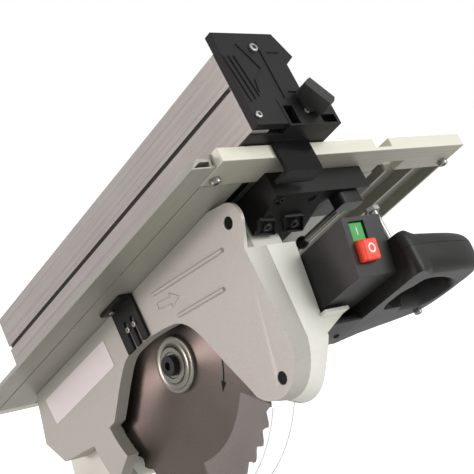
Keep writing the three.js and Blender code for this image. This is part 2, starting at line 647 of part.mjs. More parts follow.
// Blade, flanges and arbor: everything that turns with the blade
function bladeOutline() {
  const step = 360 / blade.teeth;
  const points = [];
  for (let tooth = 0; tooth < blade.teeth; tooth += 1) {
    points.push(onCircle(blade.radius, tooth * step));
    points.push(onCircle(blade.radius - blade.gullet / 2, (tooth + blade.frontShare) * step));
    points.push(onCircle(blade.radius - blade.gullet, (tooth + blade.gulletShare) * step));
    points.push(onCircle(blade.radius - blade.tipDrop, (tooth + blade.backShare) * step));
  }
  const shape = polygon(points);
  shape.holes.push(circle(0, 0, blade.bore));
  return shape;
}

function addBlade() {
  const half = blade.thickness / 2;
  piece(headFrame, "blade", prism("x", bladeOutline(), -half, half), brightSteel);
  const innerFace = half + gap;
  piece(headFrame, "inner_flange", join(
    tube("x", flange.radius, shaft.radius + gap, innerFace, innerFace + flange.thickness),
    tube("x", blade.bore - gap, shaft.radius + gap, -half + gap, innerFace + gap),
  ), brightSteel);
  const outerFace = -half - gap;
  piece(headFrame, "outer_flange", join(
    tube("x", flange.radius, shaft.boltRadius + gap, outerFace - flange.thickness + flange.step,
      outerFace),
    tube("x", flange.stepRadius, shaft.boltRadius + gap, outerFace - flange.thickness, outerFace),
  ), brightSteel);
  const headFace = outerFace - flange.thickness - gap;
  const socket = rod("x", boltHead.socket, headFace - boltHead.height - overrun,
    headFace - boltHead.height + boltHead.socketDepth, 0, 0, 6);
  piece(headFrame, "arbor_bolt", cut(join(
    rod("x", boltHead.radius, headFace - boltHead.height, headFace),
    rod("x", shaft.boltRadius, headFace - gap, shaft.boltDepth),
  ), socket), blackSteel);
  const bore = rod("x", shaft.boltRadius + gap, -half, shaft.boltDepth + weld);
  const shoulder = rod("x", shaft.radius + wall, innerFace + flange.thickness + gap,
    casting.noseLeft - gap);
  piece(headFrame, "arbor_shaft", cut(join(rod("x", shaft.radius, -half + gap, shaft.right),
    shoulder), bore), brightSteel);
  const seatGap = bearing.width - gap;
  piece(headFrame, "arbor_bearing_left", tube("x", bearing.radius, shaft.radius + gap,
    casting.noseLeft + gap, casting.noseLeft + seatGap), brightSteel);
  piece(headFrame, "arbor_bearing_right", tube("x", bearing.radius, shaft.radius + gap,
    cover.right - seatGap, cover.right - gap), brightSteel);
  piece(headFrame, "arbor_pulley", tube("x", pulley.radius, shaft.radius + gap, pulley.left,
    pulley.left + pulley.width), castAluminium);
}

// Lower guard: a clear channel round the blade's foot, hung on the casting's nose
function addLowerGuard() {
  const { start, end, left, right, thickness } = guard;
  const band = (inner, from, to) => prism("x", sector(guardRadius, inner, start, end, 14), from, to);
  const rim = band(guardRadius - thickness, -left, right);
  const leftBand = band(guardRadius - guard.bandDepth, -left, -left + thickness);
  const rightBand = band(casting.noseRadius + gap, right - thickness, right);
  const ring = tube("x", casting.noseRadius + wall * 2, casting.noseRadius + gap,
    guard.right - guard.thickness, guard.right, 0, 0, 32);
  piece(headFrame, "lower_guard", join(rim, leftBand, rightBand, ring), clearPlastic);
}

// Motor on the right of the casting, driving the arbor by a belt behind its own cover
const motorAxis = () => [-motor.forward, motor.up];

// The outline of a belt round both pulleys, offset outwards
function beltOutline(offset) {
  const [y, z] = motorAxis();
  const distance = Math.hypot(y, z);
  const along = Math.atan2(z, y);
  const lean = Math.acos((pulley.radius - pulley.motorRadius) / distance);
  const shape = new THREE.Shape();
  shape.absarc(0, 0, pulley.radius + offset, along + lean, along - lean + 2 * Math.PI);
  shape.absarc(y, z, pulley.motorRadius + offset, along - lean, along + lean);
  shape.closePath();
  return shape;
}

function addDrive() {
  const axis = motorAxis();
  const belt = beltOutline(pulley.beltThickness);
  belt.holes.push(beltOutline(gap));
  piece(headFrame, "drive_belt", prism("x", belt, pulley.left + pulley.beltInset,
    pulley.left + pulley.width - pulley.beltInset, 8), rubber);
  const room = pulley.beltThickness + beltCover.clearance;
  const coverFrom = cover.right + gap;
  const coverTo = motor.left - gap;
  const shell = prism("x", beltOutline(room + beltCover.wall), coverFrom, coverTo, 8);
  const hollow = prism("x", beltOutline(room), coverFrom - overrun, coverTo - beltCover.wall, 8);
  const shaftHole = rod("x", motor.shaftRadius + gap * 2, coverFrom, coverTo + overrun, ...axis);
  piece(headFrame, "belt_cover", cut(shell, hollow, shaftHole), castAluminium);

  const end = motor.left + motor.length;
  const casing = tube("x", motor.radius, motor.radius - motor.wall, motor.left + motor.wall - gap,
    end, ...axis, 32);
  const front = tube("x", motor.radius, bearing.radius + gap, motor.left, motor.left
    + motor.wall * 2, ...axis, 32);
  piece(headFrame, "motor_casing", join(casing, front), blackPlastic);
  piece(headFrame, "motor_bearing_front", tube("x", bearing.radius, motor.shaftRadius + gap,
    motor.left + gap, motor.left + motor.wall * 2 - gap, ...axis), brightSteel);
  const stackFrom = motor.left + motor.wall * 2 + motor.fanWidth + wall;
  piece(headFrame, "motor_stator", tube("x", motor.radius - motor.wall - gap,
    motor.rotorRadius + motor.airGap, stackFrom, stackFrom + motor.stackLength, ...axis, 32),
  blackSteel);
  piece(headFrame, "motor_rotor", join(
    rod("x", motor.shaftRadius, pulley.left - weld, end + motor.cap / 2, ...axis),
    rod("x", motor.rotorRadius, stackFrom, stackFrom + motor.stackLength, ...axis, 24),
    rod("x", motor.commutatorRadius, stackFrom, end - motor.commutatorEnd, ...axis, 24),
  ), copper);
  piece(headFrame, "cooling_fan", tube("x", motor.fanRadius, motor.shaftRadius + gap,
    motor.left + motor.wall * 2 + gap, motor.left + motor.wall * 2 + motor.fanWidth, ...axis, 24),
  blackPlastic);
  piece(headFrame, "motor_pulley", tube("x", pulley.motorRadius, motor.shaftRadius + gap,
    pulley.left, pulley.left + pulley.width, ...axis), castAluminium);
  const capShell = rod("x", motor.radius, end + gap, end + motor.cap, ...axis, 32);
  const spigot = tube("x", motor.radius - motor.wall - gap, motor.radius - motor.wall * 2,
    end - wall, end + wall, ...axis, 32);
  const bearingRoom = rod("x", motor.shaftRadius + gap * 2, end - wall * 2, end + motor.bearingDepth,
    ...axis);
  const vents = Array.from({ length: motor.vents }, (_, index) => {
    const [y, z] = onCircle(motor.ventCircle, (360 / motor.vents) * index);
    return rod("x", motor.ventRadius, end - overrun, end + motor.cap + overrun, axis[0] + y,
      axis[1] + z, 6);
  });
  const glandPlace = [axis[0] + gland.back, axis[1] + gland.up];
  const glandEnd = end + motor.cap + gland.length;
  const collar = rod("x", gland.radius, end + wall, glandEnd, ...glandPlace, 16);
  const glandBore = rod("x", gland.bore, end - overrun, glandEnd + overrun, ...glandPlace, 12);
  piece(headFrame, "motor_end_cap", cut(join(cut(join(capShell, spigot), ...vents), collar),
    bearingRoom, glandBore), blackPlastic);
}

// Switch box and handle: one black moulding in an upper and a lower shell
function boxSide(inset) {
  return polygon([
    [-box.back - inset, box.bottom + inset], [-box.back - inset, box.top - inset],
    [-box.front + inset, box.top - inset], [-box.front + box.lean + inset, box.bottom + inset],
  ]);
}

// The panel leans back, so buttons and their well are drawn upright and turned to it
function onPanel(solid) {
  const lean = THREE.MathUtils.radToDeg(Math.atan2(box.lean, box.top - box.bottom));
  return solid.rotate([lean, 0, 0]).translate([0, -box.front, box.top]);
}

function buttonPlaces() {
  const left = box.left + box.insetLeft;
  const greenTop = -box.insetTop - gap * 2;
  const redTop = greenTop - button.greenHeight - gap * 2;
  return { left, greenTop, redTop, redBottom: redTop - button.redHeight };
}

function addSwitchBox() {
  const { left, greenTop, redTop, redBottom } = buttonPlaces();
  const wellDepth = box.well;
  const shell = prism("x", boxSide(0), box.left, box.right);
  const hollow = prism("x", boxSide(box.wall), box.left + box.wall, box.right - box.wall);
  const well = onPanel(block(left - gap * 2, left + button.width + gap * 2, -overrun * 2,
    wellDepth + button.travel, redBottom - gap * 2, -box.insetTop));
  const backWay = block(box.left + box.wall * 2, box.right - box.wall * 2, -box.back - box.wall * 2,
    -box.back + overrun, box.bottom + box.wall * 2, box.top - box.wall * 2);
  const mountingFoot = block(box.left + box.wall, shelf.right - box.wall, -box.footFront,
    -box.footBack, shelf.top + gap, box.bottom + box.wall / 2);
  piece(headFrame, "switch_box", cut(join(shell, mountingFoot), hollow, well, backWay),
    blackPlastic);
  const body = (top, height, out) => onPanel(block(left, left + button.width, -out,
    wellDepth - gap, top - height, top));
  piece(headFrame, "start_button", body(greenTop, button.greenHeight, -button.greenOut),
    greenPlastic);
  piece(headFrame, "stop_button", body(redTop, button.redHeight, button.redOut), redPlastic);
  const switchBody = onPanel(block(box.left + box.wall + gap, left + button.width,
    wellDepth + button.travel,
    wellDepth + button.travel + button.switchDepth, redBottom + wall, greenTop - wall * 2));
  piece(headFrame, "power_switch", switchBody, blackPlastic);
}

function handleOutline() {
  const shape = new THREE.Shape();
  const { left, right, front, backLeft, backRight, corner, bow } = handle;
  shape.moveTo(left + gap, -backLeft);
  shape.lineTo(left + gap, -front + bow);
  shape.quadraticCurveTo((left + right) / 2, -front - bow, right - corner, -front + bow / 2);
  shape.quadraticCurveTo(right, -front + bow, right, -front + corner + bow);
  shape.lineTo(right - bow / 2, -backRight - corner);
  shape.quadraticCurveTo(right - bow, -backRight, right - corner, -backRight);
  shape.closePath();
  const hole = roundedRectangle(left + handle.side, right - handle.limb, -front + handle.bar,
    -backRight - handle.backBar, handle.holeCorner);
  shape.holes.push(hole);
  return shape;
}

function addHandle() {
  const tailTop = shelf.top - shelf.thickness - gap;
  const tail = prism("z", polygon([
    [cover.right + gap, -handle.tailFront], [handle.left + wall, -handle.tailFront],
    [handle.left + wall, -handle.backLeft - wall / 2], [cover.right + gap, -handle.tailBack],
  ]), handle.bottom, tailTop);
  const lower = join(prism("z", handleOutline(), handle.bottom, handle.seam - gap / 2, 5), tail);
  const upper = prism("z", handleOutline(), handle.seam + gap / 2, handle.top, 5);
  const gripMiddle = (handle.left + handle.side + handle.right - handle.limb) / 2;
  const barBack = -handle.front + handle.bar;
  const triggerLow = handle.seam - trigger.height / 2;
  const triggerHigh = handle.seam + trigger.height / 2;
  const well = block(gripMiddle - trigger.width / 2 - gap, gripMiddle + trigger.width / 2 + gap,
    barBack - trigger.tongue * 2 - gap, barBack + overrun, triggerLow - gap, triggerHigh + gap);
  const boltHole = rod("z", stopBolt.radius + gap, handle.seam + wall, handle.top + overrun,
    stopBolt.right, -stopBolt.forward, 16);
  piece(headFrame, "handle_lower_shell", cut(lower, well), blackPlastic);
  piece(headFrame, "handle_upper_shell", cut(upper, well, boltHole), blackPlastic);
  piece(headFrame, "guard_release_trigger", block(gripMiddle - trigger.width / 2,
    gripMiddle + trigger.width / 2, barBack - trigger.tongue, barBack + trigger.depth,
    triggerLow, triggerHigh), blackPlastic);
  piece(headFrame, "height_stop_bolt", join(
    rod("z", stopBolt.radius, handle.seam + wall + gap, stopBolt.up, stopBolt.right,
      -stopBolt.forward, 16),
    rod("z", stopBolt.headRadius, stopBolt.up - stopBolt.headHeight, stopBolt.up, stopBolt.right,
      -stopBolt.forward, 6),
  ), brightSteel);
}

// Carrier under the table's front rail, with the lever that clamps the table's height
function postPlaces() {
  const y = -carrier.postForward;
  return [[carrier.postLeft, y], [carrier.postLeft + carrier.postPitch, y]];
}

function addCarrier() {
  const top = table.underside - gap;
  const low = top - carrier.height;
  const side = polygon([[-carrier.front, top], [-carrier.front, low],
    [-carrier.back - gap, low - carrier.backDrop], [-carrier.back - gap, top]]);
  const shallow = block(carrier.left + carrier.deepWidth, carrier.left + carrier.width + overrun,
    -carrier.front - overrun, -carrier.back + overrun, low - carrier.backDrop - overrun, low);
  const body = cut(prism("x", side, carrier.left, carrier.left + carrier.width), shallow);
  const bores = postPlaces().map(([x, y]) => rod("z", carrier.postRadius + gap,
    low - carrier.backDrop - overrun, top + overrun, x, y, 16));
  const studRoom = rod("z", lever.studRadius + gap, low - overrun, top - wall, lever.right,
    -lever.forward, 16);
  piece(headFrame, "table_carrier", cut(body, ...bores, studRoom), blackPlastic);
  for (const [index, [x, y]] of postPlaces().entries()) {
    piece(headFrame, `table_post_${index ? "right" : "left"}`, rod("z", carrier.postRadius,
      low, tableTop - wall, x, y, 16), brightSteel);
  }
  const hubTop = low - gap;
  const hubLow = hubTop - lever.hubHeight;
  const rodUp = hubTop - lever.rodDrop;
  const rodEnd = -lever.forward + lever.rodLength;
  piece(headFrame, "table_clamp_lever", join(
    prism("z", roundedRectangle(lever.right - lever.hubRadius, lever.right + lever.hubReach,
      -lever.forward - lever.hubRadius, -lever.forward + lever.hubRadius, wall), hubLow, hubTop, 4),
    rod("z", lever.studRadius, hubTop - weld, top - wall - gap, lever.right, -lever.forward, 16),
    rod("y", lever.rodRadius, -lever.forward, rodEnd, lever.right, rodUp, 12),
    ball(lever.ballRadius, lever.right, rodEnd, rodUp),
  ), blackSteel);
}

// Saw table: aluminium extrusions between a front and a rear rail, sliding up and down the head
function addTable() {
  const { underside, thickness, left, right, front, rear } = table;
  const railBack = -front + table.railDepth;
  const slotRight = table.slotLeft + table.slotWidth;
  const postHoles = postPlaces().map(([x, y]) => rod("z", carrier.postRadius + gap, underside
    - overrun, tableTop - wall + gap, x, y, 16));
  const rail = block(-table.railLeft, right, -front, railBack, underside, tableTop);
  const slot = block(table.slotLeft, slotRight, -rear - overrun, rear + overrun,
    tableTop - table.slotDepth, tableTop + overrun);
  const notch = block(slotRight, slotRight + table.notchWidth, railBack - table.notchDepth,
    railBack + overrun, underside - overrun, underside + thickness / 2);
  piece(headFrame, "table_front_rail", cut(rail, slot, notch, ...postHoles), castAluminium);
  const deckBack = rear - table.rearRail - gap;
  piece(headFrame, "table_rear_rail", cut(block(-left, right, rear - table.rearRail, rear, underside,
    tableTop), slot), castAluminium);
  addLeftDeck(railBack + gap, deckBack);
  addRightDeck(railBack + gap, deckBack, slot);
  const insertRight = table.leftInner + gap;
  const plate = block(-table.leftInner + gap, insertRight - gap, railBack + gap, deckBack,
    tableTop - wall, tableTop);
  const kerfWay = block(-kerf.halfWidth, kerf.halfWidth, -kerfFront, kerfTail,
    underside - overrun, tableTop + overrun);
  piece(headFrame, "table_insert", cut(plate, kerfWay), insertPlastic);
}

// Left deck: a closed extrusion. Its outer edge, a leaning tube and a small square one, runs on
// beside the front rail.
function addLeftDeck(from, to) {
  const { underside, left, skin, web } = table;
  const inner = -table.leftInner;
  const edge = -table.railLeft - gap;
  const step = underside + table.edgeTop;
  const shoulder = -left + table.edgeStep;
  const outline = polygon([
    [-left, underside], [edge, underside], [edge, tableTop], [edge - skin, tableTop],
    [shoulder, step], [-left + table.edgeLean, step],
  ]);
  const holes = [
    [[-left + skin, underside + skin / 2], [shoulder - skin / 2, underside + skin / 2],
      [shoulder, step - skin], [-left + table.edgeLean + skin, step - skin]],
    [[shoulder + skin / 2, underside + skin], [edge - skin / 2, underside + skin],
      [edge - skin / 2, tableTop - skin], [shoulder + skin, step - skin / 2]],
  ];
  const tubes = holes.map((points) => prism("y", polygon(points), -table.rear, table.rear));
  const outer = prism("y", outline, -table.leftFront, to);
  const deck = block(edge - skin, inner, from, to, underside, tableTop);
  const groove = block(edge, edge + table.grooveWidth, from - overrun, to + overrun,
    underside - overrun, underside + table.grooveDepth);
  const shares = [0, ...table.leftWebShares, 1];
  const span = inner - skin - edge - skin;
  const chambers = table.leftWebShares.map((share, index) => {
    const x = edge + skin + span * shares[index];
    return block(x, edge + skin + span * share - web, -table.rear, table.rear,
      underside + skin, tableTop - skin);
  });
  piece(headFrame, "table_left_deck", cut(join(outer, deck), groove, ...tubes, ...chambers),
    castAluminium);
}

// Right deck: the same extrusion idea, with the mitre gauge slot and its channel below
function addRightDeck(from, to, slot) {
  const { underside, skin, web } = table;
  const left = table.leftInner + gap * 2;
  const slab = block(left, table.right, from, to, tableTop - skin, tableTop);
  const webs = table.rightWebShares.map((share) => {
    const x = left + (table.right - left - web) * share;
    return block(x, x + web, from, to, underside, tableTop - skin + weld);
  });
  const channel = block(table.slotLeft - skin, table.slotLeft + table.slotWidth + skin, from, to,
    underside, tableTop);
  piece(headFrame, "table_right_deck", cut(join(slab, ...webs, channel), slot), castAluminium);
}

// Rear guide: a slotted comb on the table that rides two screws in the left cover
function addRearGuide() {
  const face = -cover.left - gap;
  const top = table.underside - gap;
  const plate = block(face - comb.thickness, face, comb.back, comb.back + comb.depth,
    comb.bottom, top);
  const flangePlate = block(face - comb.flangeWidth, face, comb.back, comb.back + comb.depth,
    top - comb.thickness, top);
  const first = comb.back + comb.firstSlot;
  const slots = [first, first + comb.slotPitch].map((y) => join(
    block(face - comb.thickness - overrun, face + overrun, y - comb.slotWidth / 2,
      y + comb.slotWidth / 2, comb.bottom - overrun, comb.slotTop),
    rod("x", comb.slotWidth / 2, face - comb.thickness - overrun, face + overrun, y, comb.slotTop, 12),
  ));
  piece(headFrame, "rear_table_guide", cut(join(plate, flangePlate), ...slots), blackPlastic);
}

// Rip fence: a tall hollow extrusion along the table with a clamp at its front end
function addFence() {
  const low = tableTop + fence.bottom;
  const top = low + fence.height;
  const left = -fence.left;
  const right = left + fence.thickness;
  const grooveLow = low + fence.grooveUp;
  const profile = polygon([
    [left, low], [right, low], [right, top], [left, top], [left, grooveLow + fence.groove],
    [left + fence.grooveDepth, grooveLow + fence.groove], [left + fence.grooveDepth, grooveLow],
    [left, grooveLow],
  ]);
  const inside = (z0, z1) => {
    const hole = new THREE.Path();
    const x0 = left + fence.grooveDepth + fence.wall;
    hole.setFromPoints([point(x0, z0), point(right - fence.wall, z0), point(right - fence.wall, z1),
      point(x0, z1)]);
    hole.closePath();
    return hole;
  };
  profile.holes.push(inside(low + fence.wall, grooveLow - fence.wall));
  profile.holes.push(inside(grooveLow + fence.groove + fence.wall, top - fence.wall));
  piece(headFrame, "rip_fence", prism("y", profile, -fence.front, -fence.front + fence.length),
    anodised);
  addFenceClamp(low, top);
}

// The clamp's cap, block and strap are one moulding that hooks under the table's front rail
function addFenceClamp(low, top) {
  const capBack = -fence.front - gap;
  const capFront = -clamp.front;
  const cap = prism("y", polygon([
    [-fence.left, low], [-fence.left, top + clamp.crown], [clamp.right, top + clamp.crown],
    [clamp.right + clamp.ear, top - clamp.crown / 2], [clamp.right, top - clamp.crown],
    [clamp.right, low + clamp.blockHeight / 2], [clamp.blockLeft, low],
  ]), capFront, capBack);
  const railFront = -table.front - gap;
  const strapFront = railFront - clamp.strapThickness;
  const blockLow = tableTop + gap * 2;
  const body = block(clamp.blockLeft, clamp.blockRight, -clamp.blockFront, railFront + wall * 2,
    blockLow, blockLow + clamp.blockHeight);
  const strapLow = table.underside - gap - clamp.hookDrop - clamp.hookThickness;
  const strap = block(clamp.strapLeft, clamp.strapRight, strapFront, railFront, strapLow,
    blockLow + clamp.blockHeight / 2);
  const hook = block(clamp.strapLeft, clamp.strapRight, strapFront, railFront + clamp.hookDepth,
    strapLow, strapLow + clamp.hookThickness);
  const studHole = rod("y", knob.studRadius + gap, -clamp.blockFront - overrun, railFront + wall,
    knob.right, knob.up);
  const bracket = block(-fence.left, clamp.blockLeft + wall, capBack + wall, railFront + wall * 2,
    blockLow, low + wall);
  const blockWidth = clamp.blockRight - clamp.blockLeft;
  const pockets = clamp.pocketShares.map(([x0, x1, z0, z1]) => block(
    clamp.blockLeft + blockWidth * x0, clamp.blockLeft + blockWidth * x1,
    -clamp.blockFront - overrun, -clamp.blockFront + clamp.pocketDepth,
    blockLow + clamp.blockHeight * z0, blockLow + clamp.blockHeight * z1));
  const fenceRoom = block(-fence.left - overrun, -fence.left + fence.thickness + gap,
    capBack, 0, low - gap, top + overrun);
  piece(headFrame, "fence_clamp_body", cut(join(cap, body, strap, hook, bracket), studHole,
    fenceRoom, ...pockets), blackPlastic);
  const flats = block(-knob.radius, knob.radius, -knob.front, -knob.front + knob.length,
    -knob.thickness / 2, knob.thickness / 2).rotate([0, knob.lean, 0]);
  const grip = rod("y", knob.radius, -knob.front, -knob.front + knob.length, 0, 0, 32)
    .intersect(flats).translate([knob.right, 0, knob.up]);
  const faceBack = -clamp.blockFront - gap;
  piece(headFrame, "fence_clamp_knob", join(grip,
    rod("y", knob.hubRadius, -knob.front + knob.length - weld, faceBack, knob.right, knob.up),
    rod("y", knob.studRadius, faceBack - weld, railFront + wall - gap, knob.right, knob.up)),
  blackPlastic);
}

// Riving knife behind the blade, on a boss of the casting
const knifeBoss = () => onCircle(blade.radius + knife.clearance + knife.width,
  knife.low + wall / 2);

function addKnife() {
  const half = knife.thickness / 2;
  const inner = blade.radius + knife.clearance;
  const outline = sector(inner + knife.width, inner, knife.low, knife.high, 12);
  const eye = rod("x", knife.bossRadius, -half, half, ...knifeBoss());
  piece(headFrame, "riving_knife", join(prism("x", outline, -half, half), eye), brightSteel);
}

// Spindle lock: a button in the right wall that stops the arbor
function addSpindleLock() {
  const [y, z] = lockButtonPlace();
  piece(headFrame, "spindle_lock_button", join(
    rod("x", lockButton.radius, cover.right + lockButton.travel + gap,
      cover.right + lockButton.length, y, z, 16),
    rod("x", lockButton.pinRadius, cover.right - wall * 2,
      cover.right + lockButton.travel + wall, y, z, 12),
  ), blackSteel);
}

const lockButtonPlace = () => [lockButton.back, -lockButton.drop];

// Return spring: an open coil on the hinge pin between the boss and the right lug
function addReturnSpring() {
  const radius = pivot.pinRadius + spring.coilGap + spring.wireRadius;
  const room = lug.spring - spring.wireRadius * 2 - gap * 4;
  const count = spring.turns * spring.steps;
  const [y, z] = pivotInHead();
  const positions = [];
  for (let step = 0; step <= count; step += 1) {
    const turn = (2 * Math.PI * step) / spring.steps;
    const x = pivot.bossRight + spring.wireRadius + gap * 2 + (room * step) / count;
    for (let side = 0; side < spring.sides; side += 1) {
      const round = (2 * Math.PI * side) / spring.sides;
      const out = radius + spring.wireRadius * Math.cos(round);
      positions.push(x + spring.wireRadius * Math.sin(round), y + out * Math.cos(turn),
        z + out * Math.sin(turn));
    }
  }
  const faces = [];
  const sides = spring.sides;
  for (let step = 0; step < count; step += 1) {
    for (let side = 0; side < sides; side += 1) {
      const a = step * sides + side;
      const b = step * sides + ((side + 1) % sides);
      faces.push(a, b + sides, b, a, a + sides, b + sides);
    }
  }
  for (let side = 1; side < sides - 1; side += 1) {
    faces.push(0, side, side + 1);
    faces.push(count * sides, count * sides + side + 1, count * sides + side);
  }
  const geometry = new THREE.BufferGeometry();
  geometry.setAttribute("position", new THREE.Float32BufferAttribute(positions, 3));
  geometry.setIndex(faces);
  const mesh = new THREE.Mesh(geometry, brightSteel);
  mesh.name = "head_return_spring";
  headFrame.add(mesh);
  console.log("return spring gap between turns", room / spring.turns - spring.wireRadius * 2);
}

addBase();
addRearFence();
addTurntable();
addBevelBracket();
addHeadLockPin();
addHousing();
addBlade();
addLowerGuard();
addDrive();
addSwitchBox();
addHandle();
addCarrier();
addTable();
addRearGuide();
addFence();
addKnife();
addSpindleLock();
addReturnSpring();

// The origin is the middle of the footprint, on the floor
const bounds = new THREE.Box3().setFromObject(saw, true);
const middle = bounds.getCenter(new THREE.Vector3());
saw.position.set(-middle.x, -middle.y, -bounds.min.z);
console.log("origin in the drawing's own frame", middle.x, middle.y, bounds.min.z);

export default saw;
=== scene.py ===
"""Combination mitre saw with a saw table over its tilting head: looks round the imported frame."""
import json
import math

import bmesh
import bpy
import numpy as np
from mathutils import Matrix, Vector

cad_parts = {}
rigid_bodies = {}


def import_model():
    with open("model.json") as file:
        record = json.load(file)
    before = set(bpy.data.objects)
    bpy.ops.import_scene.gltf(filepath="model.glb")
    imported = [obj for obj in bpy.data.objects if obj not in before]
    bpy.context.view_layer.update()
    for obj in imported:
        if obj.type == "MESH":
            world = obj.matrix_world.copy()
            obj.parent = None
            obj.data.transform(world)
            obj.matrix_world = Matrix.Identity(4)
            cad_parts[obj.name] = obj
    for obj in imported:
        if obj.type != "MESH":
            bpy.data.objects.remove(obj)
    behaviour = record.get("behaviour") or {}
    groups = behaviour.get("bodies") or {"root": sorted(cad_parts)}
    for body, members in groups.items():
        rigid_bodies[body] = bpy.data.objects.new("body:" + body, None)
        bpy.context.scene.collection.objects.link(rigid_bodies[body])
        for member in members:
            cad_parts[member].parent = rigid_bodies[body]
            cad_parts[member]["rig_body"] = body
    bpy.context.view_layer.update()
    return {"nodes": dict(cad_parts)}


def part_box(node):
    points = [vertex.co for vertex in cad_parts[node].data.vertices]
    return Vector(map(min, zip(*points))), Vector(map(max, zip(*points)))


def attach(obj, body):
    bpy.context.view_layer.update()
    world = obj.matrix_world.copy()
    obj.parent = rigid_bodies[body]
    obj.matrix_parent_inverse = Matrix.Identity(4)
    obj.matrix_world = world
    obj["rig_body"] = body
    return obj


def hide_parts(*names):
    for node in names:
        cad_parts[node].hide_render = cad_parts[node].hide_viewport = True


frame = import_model()

# Camera
# It stands to the front left, about as high as the raised head, and looks a little down. The
# head has its own frame in millimetres: origin on the arbor in the blade's plane, X right, Y back
# and Z up of the head, which is tilted up about its hinge pin.
HEAD_TILT = math.radians(38.4)
HINGE_BACK, HINGE_DROP = 235.0, 40.0
MM = 0.001
CAMERA_PLACE = (-679.6, -822.6, -298.9)
CAMERA_RIGHT = (0.7401, -0.5271, -0.4176)
CAMERA_BACK = (-0.6657, -0.6625, -0.3435)
IMAGE_SIDE, FOCAL_PIXELS, SENSOR = 474, 1150, 36.0


def middle(node):
    """The middle of a node's box, in metres."""
    low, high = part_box(node)
    return (np.array(low) + np.array(high)) / 2


hinge_place = np.array([middle("blade")[0], *middle("head_hinge_pin")[1:]])


def in_head(points):
    """Head millimetres to row metres: turned back by the tilt about the hinge pin."""
    x, y, z = np.moveaxis(np.asarray(points, float) * MM, -1, 0)
    y, z = y - HINGE_BACK * MM, z + HINGE_DROP * MM
    c, s = math.cos(HEAD_TILT), math.sin(HEAD_TILT)
    return np.stack([x, y * c + z * s, z * c - y * s], -1) + hinge_place


def from_head(points):
    """Row metres to head millimetres: the same turn the other way."""
    x, y, z = np.moveaxis(np.asarray(points, float) - hinge_place, -1, 0)
    c, s = math.cos(HEAD_TILT), math.sin(HEAD_TILT)
    head = np.stack([x, y * c - z * s, y * s + z * c], -1) / MM
    return head + (0, HINGE_BACK, -HINGE_DROP)


def head_direction(vector):
    """A head direction as a row direction: where its end goes, less where the origin goes."""
    return in_head(vector) - in_head((0, 0, 0))


def unit(vector):
    """The vector divided by its length."""
    return vector / np.linalg.norm(vector)


camera_back = unit(head_direction(CAMERA_BACK))
camera_right = unit(head_direction(CAMERA_RIGHT))
camera_right = unit(camera_right - camera_right.dot(camera_back) * camera_back)
camera_up = np.cross(camera_back, camera_right)
camera_data = bpy.data.cameras.new("camera")
camera_data.sensor_width = SENSOR
camera_data.lens = FOCAL_PIXELS / IMAGE_SIDE * SENSOR
camera = bpy.data.objects.new("camera", camera_data)
bpy.context.scene.collection.objects.link(camera)
turn = Matrix(np.stack([camera_right, camera_up, camera_back], 1).tolist()).to_4x4()
camera.matrix_world = Matrix.Translation(in_head(CAMERA_PLACE).tolist()) @ turn
bpy.context.scene.camera = camera

# Light
# A large soft panel stands over the front right, a small one low on the left and a little
# behind, and one hangs above the rear. The world is pale, but camera and transmission rays see
# it white.
bpy.context.scene.view_settings.view_transform = "Standard"
PANELS = {
    "key_panel": ((1.3, -1.9, 2.1), (1.0, 1.0, 1.0), 1.6, 46.0),
    "left_panel": ((-2.4, 0.9, 0.25), (1.0, 0.85, 0.88), 0.75, 30.0),
    "top_panel": ((-0.3, 0.9, 2.6), (1.0, 1.0, 1.0), 1.6, 18.0),
}
PANEL_TARGET = (0.0, 0.0, 0.4)
for name, (place, tint, side, watts) in PANELS.items():
    lamp_data = bpy.data.lights.new(name, "AREA")
    lamp_data.size = side
    lamp_data.energy = watts
    lamp_data.color = tint
    lamp = bpy.data.objects.new(name, lamp_data)
    lamp.location = place
    lamp.rotation_mode = "QUATERNION"
    lamp.rotation_quaternion = (Vector(PANEL_TARGET) - Vector(place)).to_track_quat("-Z", "Y")
    bpy.context.scene.collection.objects.link(lamp)

WORLD_LEVEL, BACKDROP_LEVEL = 0.6, 1.0
WHITE = (1.0, 1.0, 1.0, 1.0)
world = bpy.data.worlds.new("studio")
bpy.context.scene.world = world
world.use_nodes = True


def sees_backdrop(tree):
    """A mask that is one for camera and transmission rays: the greater of the two."""
    path = tree.nodes.new("ShaderNodeLightPath")
    either = tree.nodes.new("ShaderNodeMath")
    either.operation = "MAXIMUM"
    tree.links.new(path.outputs["Is Camera Ray"], either.inputs[0])
    tree.links.new(path.outputs["Is Transmission Ray"], either.inputs[1])
    return either.outputs[0]


tree = world.node_tree
plain = tree.nodes["Background"]
plain.inputs["Color"].default_value = WHITE
plain.inputs["Strength"].default_value = WORLD_LEVEL
white = tree.nodes.new("ShaderNodeBackground")
white.inputs["Color"].default_value = WHITE
white.inputs["Strength"].default_value = BACKDROP_LEVEL
mix = tree.nodes.new("ShaderNodeMixShader")
tree.links.new(sees_backdrop(tree), mix.inputs["Fac"])
tree.links.new(plain.outputs[0], mix.inputs[1])
tree.links.new(white.outputs[0], mix.inputs[2])
tree.links.new(mix.outputs[0], tree.nodes["World Output"].inputs["Surface"])

